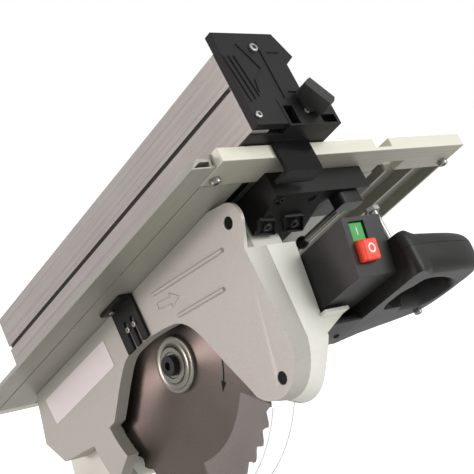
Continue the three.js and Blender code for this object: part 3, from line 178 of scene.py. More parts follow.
# Floor
# A pale matt sheet under the saw, much wider than the view. For the camera it glows up to white,
# and it keeps the saw's shadow.
FLOOR_SIDE, FLOOR_GLOW, FLOOR_ROUGHNESS = 30.0, 0.62, 0.9
FLOOR_COLOUR = (0.8, 0.8, 0.8, 1.0)
floor_mesh = bpy.data.meshes.new("floor")
corners = np.array([[-1, -1, 0], [1, -1, 0], [1, 1, 0], [-1, 1, 0]]) * FLOOR_SIDE / 2
floor_mesh.from_pydata(corners.tolist(), [], [[0, 1, 2, 3]])
floor = bpy.data.objects.new("floor", floor_mesh)
bpy.context.scene.collection.objects.link(floor)
floor_material = bpy.data.materials.new("pale_floor")
floor_material.use_nodes = True
tree = floor_material.node_tree
matt = tree.nodes["Principled BSDF"]
matt.inputs["Base Color"].default_value = FLOOR_COLOUR
matt.inputs["Roughness"].default_value = FLOOR_ROUGHNESS
glow = tree.nodes.new("ShaderNodeEmission")
glow.inputs["Strength"].default_value = FLOOR_GLOW
both = tree.nodes.new("ShaderNodeAddShader")
mix = tree.nodes.new("ShaderNodeMixShader")
tree.links.new(matt.outputs[0], both.inputs[0])
tree.links.new(glow.outputs[0], both.inputs[1])
tree.links.new(sees_backdrop(tree), mix.inputs["Fac"])
tree.links.new(matt.outputs[0], mix.inputs[1])
tree.links.new(both.outputs[0], mix.inputs[2])
tree.links.new(mix.outputs[0], tree.nodes["Material Output"].inputs["Surface"])
floor_mesh.materials.append(floor_material)

# Table rails and decks
# Aluminium extrusions, drawn through a die, so that fine lines run along them. The decks are
# bolted to the rails, whose sawn ends are deburred. The insert between the decks is a black
# moulding.


def add_socket(group, label, way, kind, value=None):
    """One more input or output of a group, with its first value."""
    socket = group.interface.new_socket(label, in_out=way, socket_type=kind)
    if value is not None:
        socket.default_value = value


def surface_group():
    """Mask: noise of object places that are turned by the head's tilt, then stretched."""
    group = bpy.data.node_groups.new("surface_noise", "ShaderNodeTree")
    add_socket(group, "Stretch", "INPUT", "NodeSocketVector", (1, 1, 1))
    add_socket(group, "Scale", "INPUT", "NodeSocketFloat", 200.0)
    add_socket(group, "Detail", "INPUT", "NodeSocketFloat", 2.0)
    add_socket(group, "Mask", "OUTPUT", "NodeSocketFloat")
    ends = group.nodes.new("NodeGroupInput"), group.nodes.new("NodeGroupOutput")
    place = group.nodes.new("ShaderNodeTexCoord")
    turn = group.nodes.new("ShaderNodeMapping")
    turn.inputs["Rotation"].default_value = (HEAD_TILT, 0, 0)
    stretch = group.nodes.new("ShaderNodeVectorMath")
    stretch.operation = "MULTIPLY"
    noise = group.nodes.new("ShaderNodeTexNoise")
    group.links.new(place.outputs["Object"], turn.inputs["Vector"])
    group.links.new(turn.outputs["Vector"], stretch.inputs[0])
    group.links.new(ends[0].outputs["Stretch"], stretch.inputs[1])
    group.links.new(stretch.outputs["Vector"], noise.inputs["Vector"])
    group.links.new(ends[0].outputs["Scale"], noise.inputs["Scale"])
    group.links.new(ends[0].outputs["Detail"], noise.inputs["Detail"])
    group.links.new(noise.outputs["Fac"], ends[1].inputs["Mask"])
    return group


SURFACE = surface_group()
GRAIN = {"stretch": (1, 1, 1), "scale": 900.0, "detail": 2.0}
ALONG_HEAD = {"stretch": (1, 0.004, 1), "scale": 900.0, "detail": 3.0}
ACROSS_HEAD = {"stretch": (0.004, 1, 1), "scale": 900.0, "detail": 3.0}
PATCHES = {"stretch": (1, 1, 1), "scale": 14.0, "detail": 4.0}
NOISE_SPAN = (0.3, 0.7)
ROUGH_SPREAD = 0.06


def noise_mask(tree, stretch, scale, detail):
    """The group's mask, with its three inputs set."""
    node = tree.nodes.new("ShaderNodeGroup")
    node.node_tree = SURFACE
    node.inputs["Stretch"].default_value = stretch
    node.inputs["Scale"].default_value = scale
    node.inputs["Detail"].default_value = detail
    return node.outputs["Mask"]


def ranged(tree, mask, low, high):
    """The mask's usual span spread over low to high, and cut off at both."""
    node = tree.nodes.new("ShaderNodeMapRange")
    tree.links.new(mask, node.inputs["Value"])
    node.inputs["From Min"].default_value = NOISE_SPAN[0]
    node.inputs["From Max"].default_value = NOISE_SPAN[1]
    node.inputs["To Min"].default_value = low
    node.inputs["To Max"].default_value = high
    return node.outputs["Result"]


def mixed(tree, mask, first, second):
    """A colour between two: each is a colour or another node's output."""
    node = tree.nodes.new("ShaderNodeMix")
    node.data_type = "RGBA"
    tree.links.new(mask, node.inputs["Factor"])
    for socket, value in ((node.inputs[6], first), (node.inputs[7], second)):
        if isinstance(value, tuple):
            socket.default_value = (*value, 1)
        else:
            tree.links.new(value, socket)
    return node.outputs[2]


def finish(name, dark, light, roughness, metallic=0.0, texture=GRAIN, bump=0.0, patch=0.35,
           **sockets):
    """A material between two near colours: its texture mixes them, and slow patches draw that
    mix towards the middle colour. A bump is in millimetres, and sockets are shader inputs."""
    material = bpy.data.materials.new(name)
    material.use_nodes = True
    tree = material.node_tree
    shader = tree.nodes["Principled BSDF"]
    fine = noise_mask(tree, **texture)
    slow = noise_mask(tree, **PATCHES)
    half = tuple((a + b) / 2 for a, b in zip(dark, light))
    by_texture = mixed(tree, ranged(tree, fine, 0.0, 1.0), dark, light)
    by_patch = mixed(tree, ranged(tree, slow, 0.0, patch), by_texture, half)
    tree.links.new(by_patch, shader.inputs["Base Color"])
    rough = ranged(tree, slow, roughness - ROUGH_SPREAD, roughness + ROUGH_SPREAD)
    tree.links.new(rough, shader.inputs["Roughness"])
    shader.inputs["Metallic"].default_value = metallic
    for label, value in sockets.items():
        shader.inputs[label.replace("_", " ").title().replace("Ior", "IOR")].default_value = value
    if bump:
        node = tree.nodes.new("ShaderNodeBump")
        node.inputs["Strength"].default_value = 1.0
        node.inputs["Distance"].default_value = bump * MM
        tree.links.new(fine, node.inputs["Height"])
        tree.links.new(node.outputs["Normal"], shader.inputs["Normal"])
    return material


SHARP, NEARLY_FLAT = math.radians(32), math.radians(1)
SOLID_WELD, GRID_WELD = 0.01, 0.005


def body_of(node):
    """The body that a node rides on."""
    return frame["nodes"][node]["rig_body"]


def show(name, mesh, material, body):
    """A mesh as a piece of the saw: shaded smooth between sharp edges, riding on its body."""
    mesh.shade_smooth()
    mesh.set_sharp_from_angle(angle=SHARP)
    mesh.materials.clear()
    mesh.materials.append(material)
    piece = bpy.data.objects.new(name, mesh)
    bpy.context.scene.collection.objects.link(piece)
    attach(piece, body)
    return piece


def round_edges(piece, edge, steps):
    """Rounds the edges that turn by more than SHARP to a radius of edge millimetres."""
    rounded = piece.modifiers.new("edges", "BEVEL")
    rounded.width = edge * MM
    rounded.segments = steps
    rounded.limit_method = "ANGLE"
    rounded.angle_limit = SHARP
    rounded.use_clamp_overlap = True
    rounded.harden_normals = True


def dressed(node, material, edge, steps=3):
    """A copy of the node's solid with its sharp edges rounded, in millimetres, as casting,
    moulding and deburring leave them. It stands for the node."""
    mesh = frame["nodes"][node].data.copy()
    shell = bmesh.new()
    shell.from_mesh(mesh)
    bmesh.ops.remove_doubles(shell, verts=shell.verts, dist=SOLID_WELD * MM)
    bmesh.ops.dissolve_limit(shell, angle_limit=NEARLY_FLAT, verts=shell.verts,
                             edges=shell.edges)
    shell.to_mesh(mesh)
    shell.free()
    piece = show(node + "_dressed", mesh, material, body_of(node))
    round_edges(piece, edge, steps)
    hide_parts(node)
    return piece


def tinted(piece, material, low, high):
    """Faces whose middle lies in a box of head millimetres take a second material."""
    mesh = piece.data
    centres = np.empty(len(mesh.polygons) * 3)
    mesh.polygons.foreach_get("center", centres)
    places = from_head(centres.reshape(-1, 3))
    inside = np.all((places > low) & (places < high), axis=1)
    index = np.empty(len(mesh.polygons), dtype=np.int32)
    mesh.polygons.foreach_get("material_index", index)
    index[inside] = len(mesh.materials)
    mesh.materials.append(material)
    mesh.polygons.foreach_set("material_index", index)


def coated(node, material):
    """The node's own solid in another finish."""
    thing = frame["nodes"][node]
    thing.data.materials.clear()
    thing.data.materials.append(material)


drawn_metal = finish("drawn_metal", (0.31, 0.306, 0.258), (0.37, 0.366, 0.312), 0.42, 0.35,
                     texture=ALONG_HEAD, bump=0.01)
rail_metal = finish("rail_metal", (0.64, 0.625, 0.52), (0.72, 0.705, 0.60), 0.42, 0.1,
                    texture=ACROSS_HEAD, bump=0.006)
# A darker copy of the rail's anodising: painted shade for the front rail's underside, which looks
# down away from the lamps.
rail_painted_shade = finish("rail_painted_shade", (0.37, 0.352, 0.29), (0.44, 0.42, 0.35), 0.5, 0.2,
                        texture=ACROSS_HEAD)
front_rail = dressed("table_front_rail", rail_metal, 1.2)
dressed("table_rear_rail", rail_metal, 0.8)
dressed("table_left_deck", drawn_metal, 0.6)
dressed("table_right_deck", drawn_metal, 0.4)
black_moulding = finish("black_moulding", (0.007, 0.007, 0.007), (0.014, 0.0135, 0.013), 0.42,
                        bump=0.03, specular_ior_level=0.2)
dressed("table_insert", black_moulding, 0.4)

# Rip fence
# A tall hollow aluminium extrusion in pinkish grey anodising; the die left raised lines along it.
# A black bead in the groove along its side is painted shade. The clamp holds it to the table.
fence_metal = finish("fence_metal", (0.32, 0.300, 0.280), (0.40, 0.38, 0.358), 0.38, 0.35,
                     texture=ALONG_HEAD, bump=0.008, patch=0.2)
dressed("rip_fence", fence_metal, 0.7)
FENCE_LEFT = -31.0
FENCE_ENDS = (-248.0, 218.0)
FENCE_LINES = (100.0, 107.0, 125.0, 146.0, 152.0, 165.0)
END_INSET, LINE_WIDTH, LINE_HEIGHT = 1.0, 0.9, 0.28
GROOVE_UP, GROOVE_DEEP, SHADE_STRIP_WIDTH, SHADE_STRIP_HEIGHT = 139.0, 1.4, 3.7, 0.8
LEFTWARDS = (-1, 0, 0)


def grid_mesh(name, points, closed=False):
    """A mesh over rows of head-millimetre points, each row a loop. The last row is joined to the
    first if closed, and otherwise the first and last rows are filled by a face each."""
    rows, columns = points.shape[:2]
    index = np.arange(rows * columns).reshape(rows, columns)
    index = np.concatenate([index, index[:, :1]], axis=1)
    if closed:
        index = np.concatenate([index, index[:1]], axis=0)
    quads = np.stack([index[:-1, :-1], index[:-1, 1:], index[1:, 1:], index[1:, :-1]], -1)
    faces = quads.reshape(-1, 4).tolist()
    if not closed:
        faces += [index[0, -2::-1].tolist(), index[-1, :-1].tolist()]
    mesh = bpy.data.meshes.new(name)
    mesh.from_pydata(in_head(points.reshape(-1, 3)).tolist(), [], faces)
    shell = bmesh.new()
    shell.from_mesh(mesh)
    bmesh.ops.remove_doubles(shell, verts=shell.verts, dist=GRID_WELD * MM)
    bmesh.ops.recalc_face_normals(shell, faces=shell.faces)
    shell.to_mesh(mesh)
    shell.free()
    return mesh


def built(name, rows, material, body, closed=False):
    """A piece whose surface is a grid of head points."""
    return show(name, grid_mesh(name, rows, closed), material, body)


RIB_SUNK, RIB_TIP = 0.15, 0.0004


def rib(path, width, height, lift, steps=10):
    """A half-round bead along a path of head points: at each point a half ellipse of the given
    width and height stands along lift, with its flat side sunk by a share of the height. It
    narrows as a quarter circle at both ends, to the square root of RIB_TIP."""
    path = np.asarray(path, float)
    lift = np.asarray(lift, float)
    along = np.gradient(path, axis=0)
    along /= np.linalg.norm(along, axis=1, keepdims=True)
    side = np.cross(along, lift)
    reach = np.concatenate([[0], np.cumsum(np.linalg.norm(np.diff(path, axis=0), axis=1))])
    end = np.minimum(reach, reach[-1] - reach) / (width / 2)
    size = np.sqrt(np.clip(1 - (1 - np.clip(end, 0, 1)) ** 2, RIB_TIP, 1))[:, None, None]
    angle = np.linspace(0, math.pi, steps)
    angle = np.concatenate([angle, angle[::-1][1:-1]])
    rise = np.where(np.arange(len(angle)) < steps, np.sin(angle), -RIB_SUNK)
    return (path[:, None] + size * (side[:, None] * (np.cos(angle) * width / 2)[None, :, None]
                                    + lift * (rise * height)[None, :, None]))


def straight(first, last, count=14):
    """Points from first to last, spaced by a cosine, so closer together near both ends."""
    share = (1 - np.cos(np.linspace(0, math.pi, count))) / 2
    return np.asarray(first) + share[:, None] * (np.asarray(last) - np.asarray(first))


def along_fence(right, up):
    """A path along the fence, drawn in a little from both its ends."""
    return straight((right, FENCE_ENDS[0] + END_INSET, up), (right, FENCE_ENDS[1] - END_INSET, up))


for number, up in enumerate(FENCE_LINES):
    line = rib(along_fence(FENCE_LEFT, up), LINE_WIDTH, LINE_HEIGHT, LEFTWARDS, 5)
    built("fence_line_%d" % number, line, fence_metal, body_of("rip_fence"))
# A black bead down the groove: painted shade standing for the groove's shadow.
groove_shade = rib(along_fence(FENCE_LEFT + GROOVE_DEEP, GROOVE_UP), SHADE_STRIP_WIDTH, SHADE_STRIP_HEIGHT,
            LEFTWARDS, 6)
built("fence_groove_shade", groove_shade, black_moulding, body_of("rip_fence"))

# Fence clamp and its knob
# A black moulding over the fence's end, with raised beads on its cap and a strap that hooks
# under the rail. Two screws hold it to the fence, and the knob's stud pulls the hook tight.
glossy_black = finish("glossy_black", (0.004, 0.004, 0.004), (0.008, 0.008, 0.008), 0.16,
                      specular_ior_level=0.15)
knob_moulding = finish("knob_moulding", (0.022, 0.022, 0.021), (0.032, 0.032, 0.03), 0.3,
                       bump=0.01, specular_ior_level=0.4)
zinc = finish("zinc", (0.30, 0.30, 0.285), (0.42, 0.42, 0.40), 0.34, 0.9, bump=0.01)
CAP_FACE, BLOCK_FACE = -256.5, -257.0
STRAP_BOX = (-1, -237, 40), (45, -228, 92)
RAIL_SHADE_BOX = (-70, -240, 70), (270, -190, 78.6)
clamp_body = dressed("fence_clamp_body", black_moulding, 1.4)
tinted(clamp_body, glossy_black, *STRAP_BOX)
# The front rail's underside faces take the darker copy, as painted shade.
tinted(front_rail, rail_painted_shade, *RAIL_SHADE_BOX)


def loop_rows(place, axis, up, profile, count=32, shape=None):
    """A turned surface: each (radius, height) of the profile is a ring about the axis, whose
    radius the shape may change with the angle and the ring's number."""
    axis = unit(np.asarray(axis, float))
    up = unit(np.asarray(up, float) - axis * np.dot(up, axis))
    side = np.cross(axis, up)
    angle = np.linspace(0, 2 * math.pi, count, endpoint=False)
    radius, height = np.array(profile, float).T
    radius = radius[:, None] * np.ones(count)
    if shape is not None:
        radius = shape(radius, angle[None, :])
    ring = (np.cos(angle)[None, :, None] * up + np.sin(angle)[None, :, None] * side)
    return (np.asarray(place, float) + radius[..., None] * ring
            + height[:, None, None] * axis)


HEXAGON_SHARE = 0.93


def hexed(first):
    """From ring number first on, rings are hexagons: a share of the radius is divided by the
    cosine of the angle from the nearest flat."""
    def shape(radius, angle):
        flat = np.cos((angle + math.pi / 6) % (math.pi / 3) - math.pi / 6)
        hexagon = radius / flat * HEXAGON_SHARE
        return np.where(np.arange(len(radius))[:, None] >= first, hexagon, radius)
    return shape


SCREW_UP = (0.3, 0.5, 0.8)


def screw(name, place, axis, radius, body, material=zinc, height=None):
    """A socket head: a rounded turned rim whose inner rings are a hexagon going down. Unless a
    height is given, it is 0.6 of the radius."""
    height = height or radius * 0.6
    profile = [(radius * 0.96, -height * 0.2), (radius, 0.1 * height), (radius, 0.75 * height),
               (radius * 0.93, 0.95 * height), (radius * 0.8, height), (radius * 0.55, height),
               (radius * 0.5, height * 0.94), (radius * 0.5, height * 0.3),
               (radius * 0.3, height * 0.25)]
    rows = loop_rows(place, axis, SCREW_UP, profile, 24, hexed(5))
    built(name, rows, material, body)


clamp_rides = body_of("fence_clamp_body")
FRONTWARDS = (0, -1, 0)
CAP_BEAD_WIDTH, CAP_BEAD_HEIGHT = 1.8, 1.1
screw("clamp_screw_top", (9.2, CAP_FACE, 175), FRONTWARDS, 4.4, clamp_rides)
screw("clamp_screw_low", (-25.1, CAP_FACE, 104.4), FRONTWARDS, 3.4, clamp_rides)
screw("block_screw", (33, BLOCK_FACE, 106.8), FRONTWARDS, 2.6, clamp_rides)
CAP_BEADS = [
    [(-24, 117), (-30, 168)], [(-18, 120), (-24, 168)], [(-12, 123), (-18, 168)],
    [(-9, 180), (-2.6, 169.8), (6, 152.6), (-7.6, 141), (-10, 128)], [(16, 184), (16, 120)],
    [(24, 171), (38, 171)], [(24, 128), (38, 128)],
]
for number, corners in enumerate(CAP_BEADS):
    places = [(right, CAP_FACE, up) for right, up in corners]
    legs = [straight(first, last, 9) for first, last in zip(places, places[1:])]
    path = np.concatenate([leg[:-1] for leg in legs[:-1]] + legs[-1:])
    bead = rib(path, CAP_BEAD_WIDTH, CAP_BEAD_HEIGHT, FRONTWARDS, 6)
    built("clamp_bead_%d" % number, bead, black_moulding, clamp_rides)

dressed("fence_clamp_knob", knob_moulding, 4.5, 5)

# Carrier, table clamp lever, height stop and rail screws
# The table stands on a black moulded carrier under its front rail. A lever with a bright rod
# clamps its height on two steel posts, and a zinc bolt stops it. Zinc screws hold the rails.
black_steel = finish("black_steel", (0.012, 0.012, 0.012), (0.022, 0.022, 0.022), 0.36, 0.2,
                     bump=0.01, specular_ior_level=0.3)
dressed("table_carrier", black_moulding, 1.4)
clamp_lever = dressed("table_clamp_lever", black_steel, 0.8)
LEVER_ROD_BOX = (60, -187.5, 0), (130, -141, 90)
tinted(clamp_lever, zinc, *LEVER_ROD_BOX)
for node in ("height_stop_bolt", "table_post_left", "table_post_right"):
    coated(node, zinc)
carrier_rides = body_of("table_carrier")
UNDER = np.array([0, -0.249, -0.968])
RIM_WIDTH, RIM_HEIGHT = 2.2, 2.4
POCKETS = [
    [(-3.1, -182.1, 48.0), (17.6, -179.8, 47.4), (28.4, -162.1, 42.9), (7.2, -164.7, 43.6)],
    [(27.1, -182.2, 48.1), (51.2, -181.9, 48.0), (63.6, -162.5, 43.0), (41.7, -162.8, 43.1)],
]
for number, corners in enumerate(POCKETS):
    place = np.mean(corners, axis=0)
    screw("carrier_screw_%d" % number, place, UNDER, 4.4, carrier_rides, knob_moulding)
    for side, (first, last) in enumerate(zip(corners, corners[1:] + corners[:1])):
        rim = rib(straight(first, last, 9), RIM_WIDTH, RIM_HEIGHT, UNDER, 6)
        built("carrier_pocket_%d_%d" % (number, side), rim, black_moulding, carrier_rides)
screw("carrier_set_screw", (12.8, -202.2, 53.2), UNDER, 3.0, carrier_rides, black_steel)
FLUSH = 0.35
REAR_RAIL_LINE, REAR_RAIL_SCREWS = (246.0, 92.0), (-40.0, 60.0, 160.0, 235.0)
for number, right in enumerate(REAR_RAIL_SCREWS):
    screw("rear_rail_screw_%d" % number, (right, *REAR_RAIL_LINE), (0, 0, 1), 3.4,
          body_of("table_rear_rail"), height=FLUSH)
FRONT_RAIL_LINE, FRONT_RAIL_BOLTS = (-204.0, 78.0), (-52.0, 252.0)
for number, right in enumerate(FRONT_RAIL_BOLTS):
    screw("rail_bolt_%d" % number, (right, *FRONT_RAIL_LINE), (0, 0, -1), 5.0,
          body_of("table_front_rail"), height=5.0)

# Switch box and its buttons
# A black moulding on the shelf. Its leaning face holds a green start button with a raised line
# and a red stop button with a raised ring, both marks in white.
box_moulding = finish("box_moulding", (0.020, 0.020, 0.020), (0.032, 0.031, 0.030), 0.42,
                      bump=0.03, specular_ior_level=0.3)
dressed("switch_box", box_moulding, 1.6)
green_plastic = finish("green_plastic", (0.035, 0.35, 0.065), (0.055, 0.41, 0.09), 0.34,
                       bump=0.006, specular_ior_level=0.3)
red_plastic = finish("red_plastic", (0.84, 0.06, 0.025), (0.92, 0.08, 0.035), 0.3, bump=0.006,
                     specular_ior_level=0.3)
white_paint = finish("white_paint", (0.80, 0.80, 0.80), (0.88, 0.88, 0.88), 0.4)
dressed("start_button", green_plastic, 1.0)
dressed("stop_button", red_plastic, 1.8)
PANEL_LEAN = math.atan2(13, 52)
PANEL_TOP = np.array([0, -229.0, 14.0])
OUT = np.array([0, -math.cos(PANEL_LEAN), -math.sin(PANEL_LEAN)])
DOWN = np.array([0, math.sin(PANEL_LEAN), -math.cos(PANEL_LEAN)])


def on_panel(right, down, out):
    """A place on the leaning switch panel: right of the blade, down from its top edge and out."""
    return np.array([right, 0, 0]) + PANEL_TOP + down * DOWN + out * OUT


START_FACE, STOP_FACE, MARKS_RIGHT = -2.0, 9.0, 56.0
STROKE_TOP, STROKE_LOW, STROKE_WIDTH, MARK_HEIGHT = 9.0, 16.5, 1.2, 0.4
stroke = rib(straight(on_panel(MARKS_RIGHT, STROKE_TOP, START_FACE),
                      on_panel(MARKS_RIGHT, STROKE_LOW, START_FACE)),
             STROKE_WIDTH, MARK_HEIGHT, OUT, 6)
built("start_mark", stroke, white_paint, body_of("start_button"))
ring_angle = np.linspace(0, 2 * math.pi, 48, endpoint=False)[:, None]
bead_angle = np.linspace(0, 2 * math.pi, 10, endpoint=False)[None, :]
RING_DOWN, RING, BEAD = 31.0, 3.6, 0.8
reach = RING + BEAD * np.cos(bead_angle)
ring = (on_panel(MARKS_RIGHT, RING_DOWN, STOP_FACE)
        + (reach * np.cos(ring_angle))[..., None] * (1, 0, 0)
        + (reach * np.sin(ring_angle))[..., None] * DOWN
        + (MARK_HEIGHT * np.sin(bead_angle) * np.ones_like(ring_angle))[..., None] * OUT)
built("stop_mark", ring, white_paint, body_of("stop_button"), closed=True)

# Handle
# A D-shaped grip in two black shells that meet at a seam and are screwed together from below.
# Its bars are rounded all along, and the lower shell goes on as a flat foot under the switch box.
handle_moulding = finish("handle_moulding", (0.010, 0.0095, 0.009), (0.018, 0.017, 0.016), 0.4,
                         bump=0.02, specular_ior_level=0.25)
HANDLE_SEAM, HANDLE_TOP, HANDLE_LOW, SEAM_GAP = -26.0, -14.0, -50.8, 0.3
HANDLE_LEAN, HANDLE_RIGHT, EDGE_ROUND = 4.0, 203.0, 12.0
ROOT_RIGHT, ROOT_END, ROOT_ROUND = 96.0, 112.0, 1.5
FOOT_TOP, FOOT_LOW = -44.6, -50.9


def smooth_loop(points, count, passes):
    """A closed line through the points, evenly spaced, and softened by averaging neighbours."""
    points = np.asarray(points, float)
    ring = np.concatenate([points, points[:1]])
    reach = np.concatenate([[0], np.cumsum(np.linalg.norm(np.diff(ring, axis=0), axis=1))])
    at = np.linspace(0, reach[-1], count, endpoint=False)
    line = np.stack([np.interp(at, reach, ring[:, k]) for k in range(2)], 1)
    for _ in range(passes):
        line = (np.roll(line, 1, 0) + 2 * line + np.roll(line, -1, 0)) / 4
    return line


HANDLE_OUTER = [(88.5, -160), (88.5, -238), (90, -239.5), (110, -239), (128, -238),
                (150, -236), (172, -232.5), (192, -227), (200, -220), (203, -204), (201, -180),
                (195, -152), (184, -130), (150, -119), (120, -110), (88.5, -100.5),
                (88.5, -130)]
HANDLE_HOLE = [(103, -178), (103, -196), (110, -205), (124, -208.5), (141, -207), (168, -200),
               (178, -192), (178, -176), (170, -165), (141, -164.5), (110, -165)]
outer = smooth_loop(HANDLE_OUTER, 220, 12)
hole = smooth_loop(HANDLE_HOLE, 220, 14)
centre = hole.mean(0)
near = np.argmin(np.linalg.norm(hole - centre - (outer[0] - centre) * 0.5, axis=1))
hole = np.roll(hole, -near, 0)


def grip_shell(name, height, lean, node):
    """A shell of the grip: across the bar from the hole's line to the outer line it rises from
    the seam as a quarter circle near both edges and is level between them, and its other side is
    the flat seam. It stands higher by the lean at its root than at its right end."""
    across = (1 - np.cos(np.linspace(0, math.pi, 23))) / 2
    wide = np.linalg.norm(outer - hole, axis=1)[:, None]
    edge = np.interp(outer[:, 0], (ROOT_RIGHT, ROOT_END), (ROOT_ROUND, EDGE_ROUND))[:, None]
    near_edge = np.clip(np.minimum(across, 1 - across) * wide / edge, 0, 1)
    right = np.interp(outer[:, 0], (ROOT_RIGHT, HANDLE_RIGHT), (lean, 0))[:, None]
    rise = (height + right) * np.sqrt(1 - (1 - near_edge) ** 2)
    flat = hole[:, None] + across[None, :, None] * (outer - hole)[:, None]
    seam = HANDLE_SEAM + math.copysign(SEAM_GAP / 2, height)
    top = np.concatenate([flat, (seam + rise)[..., None]], -1)
    under = np.concatenate([flat, np.full_like(rise, seam)[..., None]], -1)[:, ::-1][:, 1:-1]
    rows = np.concatenate([top, under], 1)
    shell = built(name, rows, handle_moulding, body_of(node), closed=True)
    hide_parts(node)


grip_shell("handle_upper_grip", HANDLE_TOP - HANDLE_SEAM, HANDLE_LEAN, "handle_upper_shell")
grip_shell("handle_lower_grip", HANDLE_LOW - HANDLE_SEAM, 0.0, "handle_lower_shell")


MITRE_LEAST = 0.3


def plate_rows(outline, low, high, edge):
    """A plate with rounded edges: the outline drawn in by the edge's radius, round a quarter
    circle, down the side and round again, as places (x, y, height). A corner moves along the
    mean of its two sides' normals, and further the sharper it is, up to 1 / MITRE_LEAST."""
    outline = np.asarray(outline, float)
    before, after = np.roll(outline, 1, 0), np.roll(outline, -1, 0)
    first = (outline - before) / np.linalg.norm(outline - before, axis=1, keepdims=True)
    second = (after - outline) / np.linalg.norm(after - outline, axis=1, keepdims=True)
    inward = np.stack([-(first + second)[:, 1], (first + second)[:, 0]], 1)
    square = np.stack([-first[:, 1], first[:, 0]], 1)
    inward /= np.maximum(np.abs((inward * square).sum(1)), MITRE_LEAST)[:, None]
    area = (before[:, 0] * outline[:, 1] - outline[:, 0] * before[:, 1]).sum()
    inward *= np.sign(area)
    turn = np.linspace(0, math.pi / 2, 5)
    inset = np.concatenate([edge * (1 - np.sin(turn)), (edge * (1 - np.sin(turn)))[::-1]])
    height = np.concatenate([high - edge * (1 - np.cos(turn)),
                             (low + edge * (1 - np.cos(turn)))[::-1]])
    rows = outline[None] + inset[:, None, None] * inward[None]
    return np.concatenate([rows, np.broadcast_to(height[:, None, None], (*rows.shape[:2], 1))],
                          -1)


handle_rides = body_of("handle_lower_shell")
foot = smooth_loop([(38, -95), (38, -154), (95, -154), (95, -104), (60, -93)], 120, 2)
built("handle_foot", plate_rows(foot, FOOT_LOW, FOOT_TOP, 2.0), handle_moulding, handle_rides)
dressed("guard_release_trigger", black_moulding, 2.5)
SCREW_SEAT = -50.6
screw("handle_screw_back", (178, -144, SCREW_SEAT), (0, 0, -1), 4.0, handle_rides, height=4.0)
screw("handle_screw_front", (83, -122, SCREW_SEAT), (0, 0, -1), 3.0, handle_rides, black_steel)

# Left blade cover
# A deep die casting in satin silver paint, with a thin ear at the front, two straight ribs and
# a raised arrow. A thin blank plate is glued to it below the table, and dark cups line two holes.
silver_paint = finish("silver_paint", (0.405, 0.392, 0.351), (0.468, 0.455, 0.410), 0.42, 0.15,
                      bump=0.02)
dressed("left_blade_cover", silver_paint, 2.2, 4)
COVER_FACE = -24.0
COVER_BEADS = [([(-36, 59.5), (-149, 40)], 4.6, 3.0), ([(-57, 25), (-129, 12)], 4.6, 3.0)]
ARROW_TAIL, ARROW_TIP = np.array([-36.0, 47.0]), np.array([-69.0, 39.0])
arrow_along = ARROW_TIP - ARROW_TAIL
arrow_side = unit(np.array([arrow_along[1], -arrow_along[0]]))
NECK, SHAFT, BARB = 0.6, 3.2, 7.0
arrow_corners = [ARROW_TAIL + along * arrow_along + across * arrow_side for along, across in (
    (0, SHAFT), (NECK, SHAFT), (NECK, BARB), (1, 0), (NECK, -BARB), (NECK, -SHAFT), (0, -SHAFT),
    (0, SHAFT))]
COVER_BEADS += [(pair, 1.4, 0.8) for pair in zip(arrow_corners, arrow_corners[1:])]
cover_rides = body_of("left_blade_cover")
for number, ((first, last), width, height) in enumerate(COVER_BEADS):
    bead = rib(straight((COVER_FACE, *first), (COVER_FACE, *last)), width, height, LEFTWARDS)
    built("cover_bead_%d" % number, bead, silver_paint, cover_rides)
BUSH_RADIUS, BUSH_DEPTH = 5.6, 7.0
BUSHES = {"ear_bush": (-168.0, 55.2), "tip_bush": (-143.8, -83.8)}
for name, place in BUSHES.items():
    cup = [(BUSH_RADIUS, -1.2), (BUSH_RADIUS, -2.2), (BUSH_RADIUS * 0.8, -2.6),
           (BUSH_RADIUS * 0.76, -BUSH_DEPTH)]
    built(name, loop_rows((COVER_FACE, *place), LEFTWARDS, (0, 0, 1), cup), glossy_black,
          cover_rides)


def on_left_face(rows, face):
    """Plate rows, drawn as (back, up, height), stood on a face that looks left."""
    return np.stack([face - rows[..., 2], rows[..., 0], rows[..., 1]], -1)


plate_paint = finish("plate_paint", (0.66, 0.62, 0.60), (0.72, 0.68, 0.66), 0.4)
LABEL_THICKNESS, LABEL_EDGE = 0.7, 0.25
label = smooth_loop([(63, 64.5), (62, 35), (197, 34), (200, 65)], 160, 1)
rows = on_left_face(plate_rows(label, 0.0, LABEL_THICKNESS, LABEL_EDGE), COVER_FACE)
built("cover_label_plate", rows, plate_paint, cover_rides)

# Right casting of the head
# The main aluminium die casting, brighter than the cover, with the shelf for the switch box. A
# black belt cover is screwed to it, and the spindle lock's steel button passes through it.
cast_metal = finish("cast_metal", (0.70, 0.70, 0.625), (0.77, 0.77, 0.69), 0.45, 0.0, bump=0.03)
dressed("head_casting", cast_metal, 1.4)
dressed("belt_cover", black_moulding, 2.0)
coated("spindle_lock_button", black_steel)

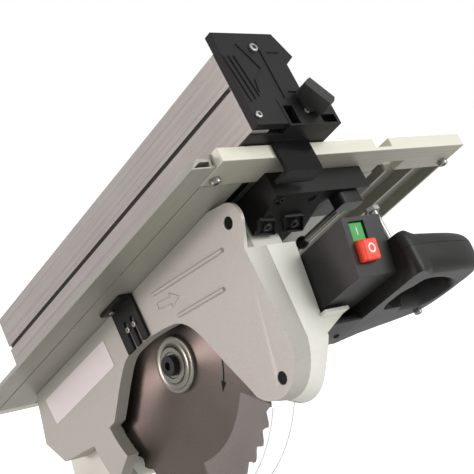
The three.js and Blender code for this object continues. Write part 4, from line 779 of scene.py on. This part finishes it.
# Blade, flanges and arbor
# A ground steel disc with tipped teeth, held by a stepped steel flange and a socket bolt. The
# grinding leaves fine rings about the arbor, so highlights run out from it as streaks. Two arcs
# with points are printed on the disc to show which way it turns.
blade_steel = finish("blade_steel", (0.13, 0.105, 0.09), (0.22, 0.185, 0.165), 0.35, 1.0,
                     patch=0.6, anisotropic=0.95, anisotropic_rotation=0.25)
tangent = blade_steel.node_tree.nodes.new("ShaderNodeTangent")
tangent.direction_type = "RADIAL"
tangent.axis = "X"
blade_steel.node_tree.links.new(
    tangent.outputs[0], blade_steel.node_tree.nodes["Principled BSDF"].inputs["Tangent"])
coated("blade", blade_steel)
flange_metal = finish("flange_metal", (0.19, 0.188, 0.158), (0.27, 0.267, 0.225), 0.26, 0.9)
BLADE_FACE = -1.4
flange_profile = [(15.2, 0.0), (28.0, 0.0), (28.0, 3.6), (27.2, 4.6), (25.5, 5.0), (23.5, 4.6),
                  (22.5, 4.2), (20.5, 4.3), (18.6, 5.0), (18.0, 5.6), (17.8, 6.9), (17.0, 7.5),
                  (13.0, 7.5), (12.2, 6.6), (10.2, 6.4), (4.3, 6.4)]
rows = loop_rows((BLADE_FACE, 0, 0), LEFTWARDS, (0, 0, 1), flange_profile, 72)
outer_flange = built("outer_flange_turned", rows, flange_metal, body_of("outer_flange"))
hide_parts("outer_flange")
coated("arbor_bolt", black_steel)
for node in ("inner_flange", "arbor_shaft", "arbor_bearing_left", "arbor_bearing_right",
             "arbor_pulley", "motor_bearing_front", "motor_pulley", "head_return_spring",
             "head_hinge_pin", "turntable_centre_pin", "bevel_bolt", "riving_knife"):
    coated(node, zinc)
black_print = finish("black_print", (0.004, 0.004, 0.004), (0.008, 0.008, 0.008), 0.45,
                     specular_ior_level=0.1)
MARK_TURNS, MARK_RADIUS, MARK_SWEEP, MARK_WIDTH = (202.0, 82.0), 66.0, 22.0, 2.2
PRINT_HEIGHT, PRINT_EDGE = 0.08, 0.03
POINT_AHEAD, POINT_BACK, POINT_HALF_WIDTH = 8.0, 3.0, 3.6


def arbor_arc(right, radius, first, last, count):
    """An arc about the arbor between two turns in degrees: a turn of 0 points back, 90 up."""
    sweep = np.radians(np.linspace(first, last, count))
    return np.stack([np.full(count, right), radius * np.cos(sweep), radius * np.sin(sweep)], 1)


for number, first in enumerate(MARK_TURNS):
    arc = arbor_arc(BLADE_FACE, MARK_RADIUS, first, first + MARK_SWEEP, 24)
    built("blade_mark_%d" % number, rib(arc, MARK_WIDTH, PRINT_HEIGHT, LEFTWARDS, 5), black_print,
          body_of("blade"))
    along = unit(arc[-1] - arc[-2])[1:]
    across = np.array([-along[1], along[0]]) * POINT_HALF_WIDTH
    root = arc[-1, 1:] - POINT_BACK * along
    corners = [arc[-1, 1:] + POINT_AHEAD * along, root + across, root - across]
    rows = on_left_face(plate_rows(corners, 0.0, PRINT_HEIGHT, PRINT_EDGE), BLADE_FACE)
    built("blade_point_%d" % number, rows, black_print, body_of("blade"))

# Lower guard
# A clear polycarbonate channel round the blade, moulded in one and hung about the arbor. A bead
# of paler, less clear plastic along both cut edges is a painted highlight for the light they
# catch.
clear_plastic = finish("clear_plastic", (0.80, 0.80, 0.78), (0.88, 0.88, 0.86), 0.06,
                       texture=PATCHES, alpha=0.07)
dressed("lower_guard", clear_plastic, 0.6)
# Paler, less clear plastic for the guard's edges: a painted highlight.
painted_edge_highlight = finish("painted_edge_highlight", (0.62, 0.62, 0.60), (0.74, 0.74, 0.72), 0.12,
                      texture=PATCHES, alpha=0.55)
GUARD_RADIUS, GUARD_SIDES, GUARD_TURNS = 139.2, (-9.0, 17.0), (222.0, 281.0)
GUARD_HIGHLIGHT_WIDTH, GUARD_HIGHLIGHT_HEIGHT = 1.6, 0.5
for number, right in enumerate(GUARD_SIDES):
    bead = rib(arbor_arc(right, GUARD_RADIUS, *GUARD_TURNS, 48), GUARD_HIGHLIGHT_WIDTH,
               GUARD_HIGHLIGHT_HEIGHT, (math.copysign(1, right), 0, 0), 6)
    built("guard_painted_highlight_%d" % number, bead, painted_edge_highlight, body_of("lower_guard"))

# Rear table guide
# A black moulded comb, screwed under the table by its flange. Its slots ride two screws of the
# blade cover as the table's height is set.
GUIDE_FACE, GUIDE_SCREWS = -27.8, ((2.0, 50.0), (14.0, 50.0))
dressed("rear_table_guide", black_moulding, 0.6)
for number, place in enumerate(GUIDE_SCREWS):
    screw("guide_screw_%d" % number, (GUIDE_FACE, *place), LEFTWARDS, 3.0, cover_rides)
screw("guide_flange_screw", (-33.0, 21.0, 74.0), (0, 0, -1), 2.8, body_of("rear_table_guide"))

# Motor
# A black moulded casing, closed by an end cap with vents and three screws, and with two brush
# caps. Inside it are the stator, the rotor and its fan. A rubber belt turns the arbor.
copper = finish("copper", (0.25, 0.09, 0.03), (0.45, 0.2, 0.08), 0.4, 0.8)
rubber = finish("rubber", (0.012, 0.012, 0.012), (0.02, 0.02, 0.02), 0.8, bump=0.05)
MOTOR_AXIS, MOTOR_END, MOTOR_SCREW_CIRCLE = (-45.0, 32.0), 159.0, 31.5
BRUSHES_RIGHT, BRUSHES_OUT = 74.0, 36.6
BELT_COVER_FACE, BELT_COVER_CIRCLE = 56.7, 28.0
dressed("motor_casing", black_moulding, 0.8)
dressed("motor_end_cap", black_moulding, 0.8)
coated("motor_stator", black_steel)
coated("motor_rotor", copper)
coated("cooling_fan", black_moulding)
coated("power_switch", black_moulding)
coated("drive_belt", rubber)


def round_axis(right, axis, radius, degrees):
    """A place on a circle round an axis that runs to the right: 0 degrees is back, 90 up."""
    turn = math.radians(degrees)
    return right, axis[0] + radius * math.cos(turn), axis[1] + radius * math.sin(turn)


for number, degrees in enumerate((30.0, 150.0, 270.0)):
    place = round_axis(MOTOR_END, MOTOR_AXIS, MOTOR_SCREW_CIRCLE, degrees)
    screw("motor_screw_%d" % number, place, (1, 0, 0), 2.6, body_of("motor_end_cap"))
for number, back in enumerate((-1, 1)):
    place = (BRUSHES_RIGHT, MOTOR_AXIS[0] + BRUSHES_OUT * back, MOTOR_AXIS[1])
    screw("brush_cap_%d" % number, place, (0, back, 0), 6.0, body_of("motor_casing"), black_steel,
          2.5)
for number, degrees in enumerate((-15.0, -75.0, 45.0)):
    place = round_axis(BELT_COVER_FACE, (0, 0), BELT_COVER_CIRCLE, degrees)
    screw("belt_cover_screw_%d" % number, place, (1, 0, 0), 2.4, body_of("belt_cover"))

# Base, turntable and rear fence
# Aluminium castings, machined on top, on four rubber feet. The rear fence is bolted on by its
# lugs. The insert round the kerf is a red moulding held by four screws, and the scale is a
# bright strip on the front of the ring.
base_metal = finish("base_metal", (0.46, 0.46, 0.42), (0.54, 0.54, 0.49), 0.45, 0.25, bump=0.03)
scale_metal = finish("scale_metal", (0.55, 0.55, 0.50), (0.66, 0.66, 0.61), 0.35, 0.5)
dressed("base_casting", silver_paint, 2.0)
dressed("turntable", base_metal, 1.5)
dressed("rear_fence", base_metal, 1.5)
dressed("kerf_insert", red_plastic, 0.3)
coated("mitre_scale", scale_metal)
turntable_place = middle("turntable_centre_pin") / MM
for node in ("foot_front_left", "foot_front_right", "foot_rear_left", "foot_rear_right"):
    coated(node, rubber)

UPWARDS = (0, -math.sin(HEAD_TILT), math.cos(HEAD_TILT))
FENCE_LUG_TOP, TURNTABLE_TOP = (-6.0, 89.0), 80.0
INSERT_SIDES, INSERT_ENDS = (-24.5, -1.5), (-110.0, 20.0)


def in_row(points):
    """Millimetres of the row's own frame as head millimetres, so turned by the tilt."""
    return from_head(np.asarray(points, float) * MM)


for number, right in enumerate((-203.0, 177.0)):
    screw("fence_bolt_%d" % number, in_row((right, *FENCE_LUG_TOP)), UPWARDS, 4.6,
          body_of("rear_fence"))
insert_corners = [(right, back) for back in INSERT_ENDS for right in INSERT_SIDES]
for number, corner in enumerate(insert_corners):
    screw("insert_screw_%d" % number, in_row((*corner, TURNTABLE_TOP)), UPWARDS, 2.2,
          body_of("kerf_insert"), height=FLUSH)
SCALE_RADIUS, SCALE_LOW, TICK, LONG_TICK = 148.8, 38.5, 6.0, 10.0
TICK_WIDTH, TICK_HEIGHT, TICK_STEP, SCALE_SWING = 0.9, 0.15, 5, 45
for degrees in range(-SCALE_SWING, SCALE_SWING + TICK_STEP, TICK_STEP):
    turn = math.radians(degrees)
    outward = np.array([math.sin(turn), -math.cos(turn), 0])
    tick_low = np.array([*turntable_place[:2], SCALE_LOW]) + SCALE_RADIUS * outward
    tick = straight(tick_low, tick_low + (0, 0, TICK if degrees % 15 else LONG_TICK), 7)
    lift = in_row(outward) - in_row((0, 0, 0))
    built("scale_tick_%d" % degrees, rib(in_row(tick), TICK_WIDTH, TICK_HEIGHT, lift, 5),
          black_print, body_of("mitre_scale"))

# Bevel bracket and the locks
# A painted casting that carries the head's hinge and tilts on a steel bolt behind the turntable.
# A moulded lever and a moulded knob on steel studs lock its tilt and the turntable's turn, and a
# steel pin holds the head down.
dressed("bevel_bracket", silver_paint, 1.5)
dressed("mitre_lock_knob", black_moulding, 1.5)
dressed("bevel_lock_lever", black_moulding, 1.2)
coated("head_lock_pin", black_steel)
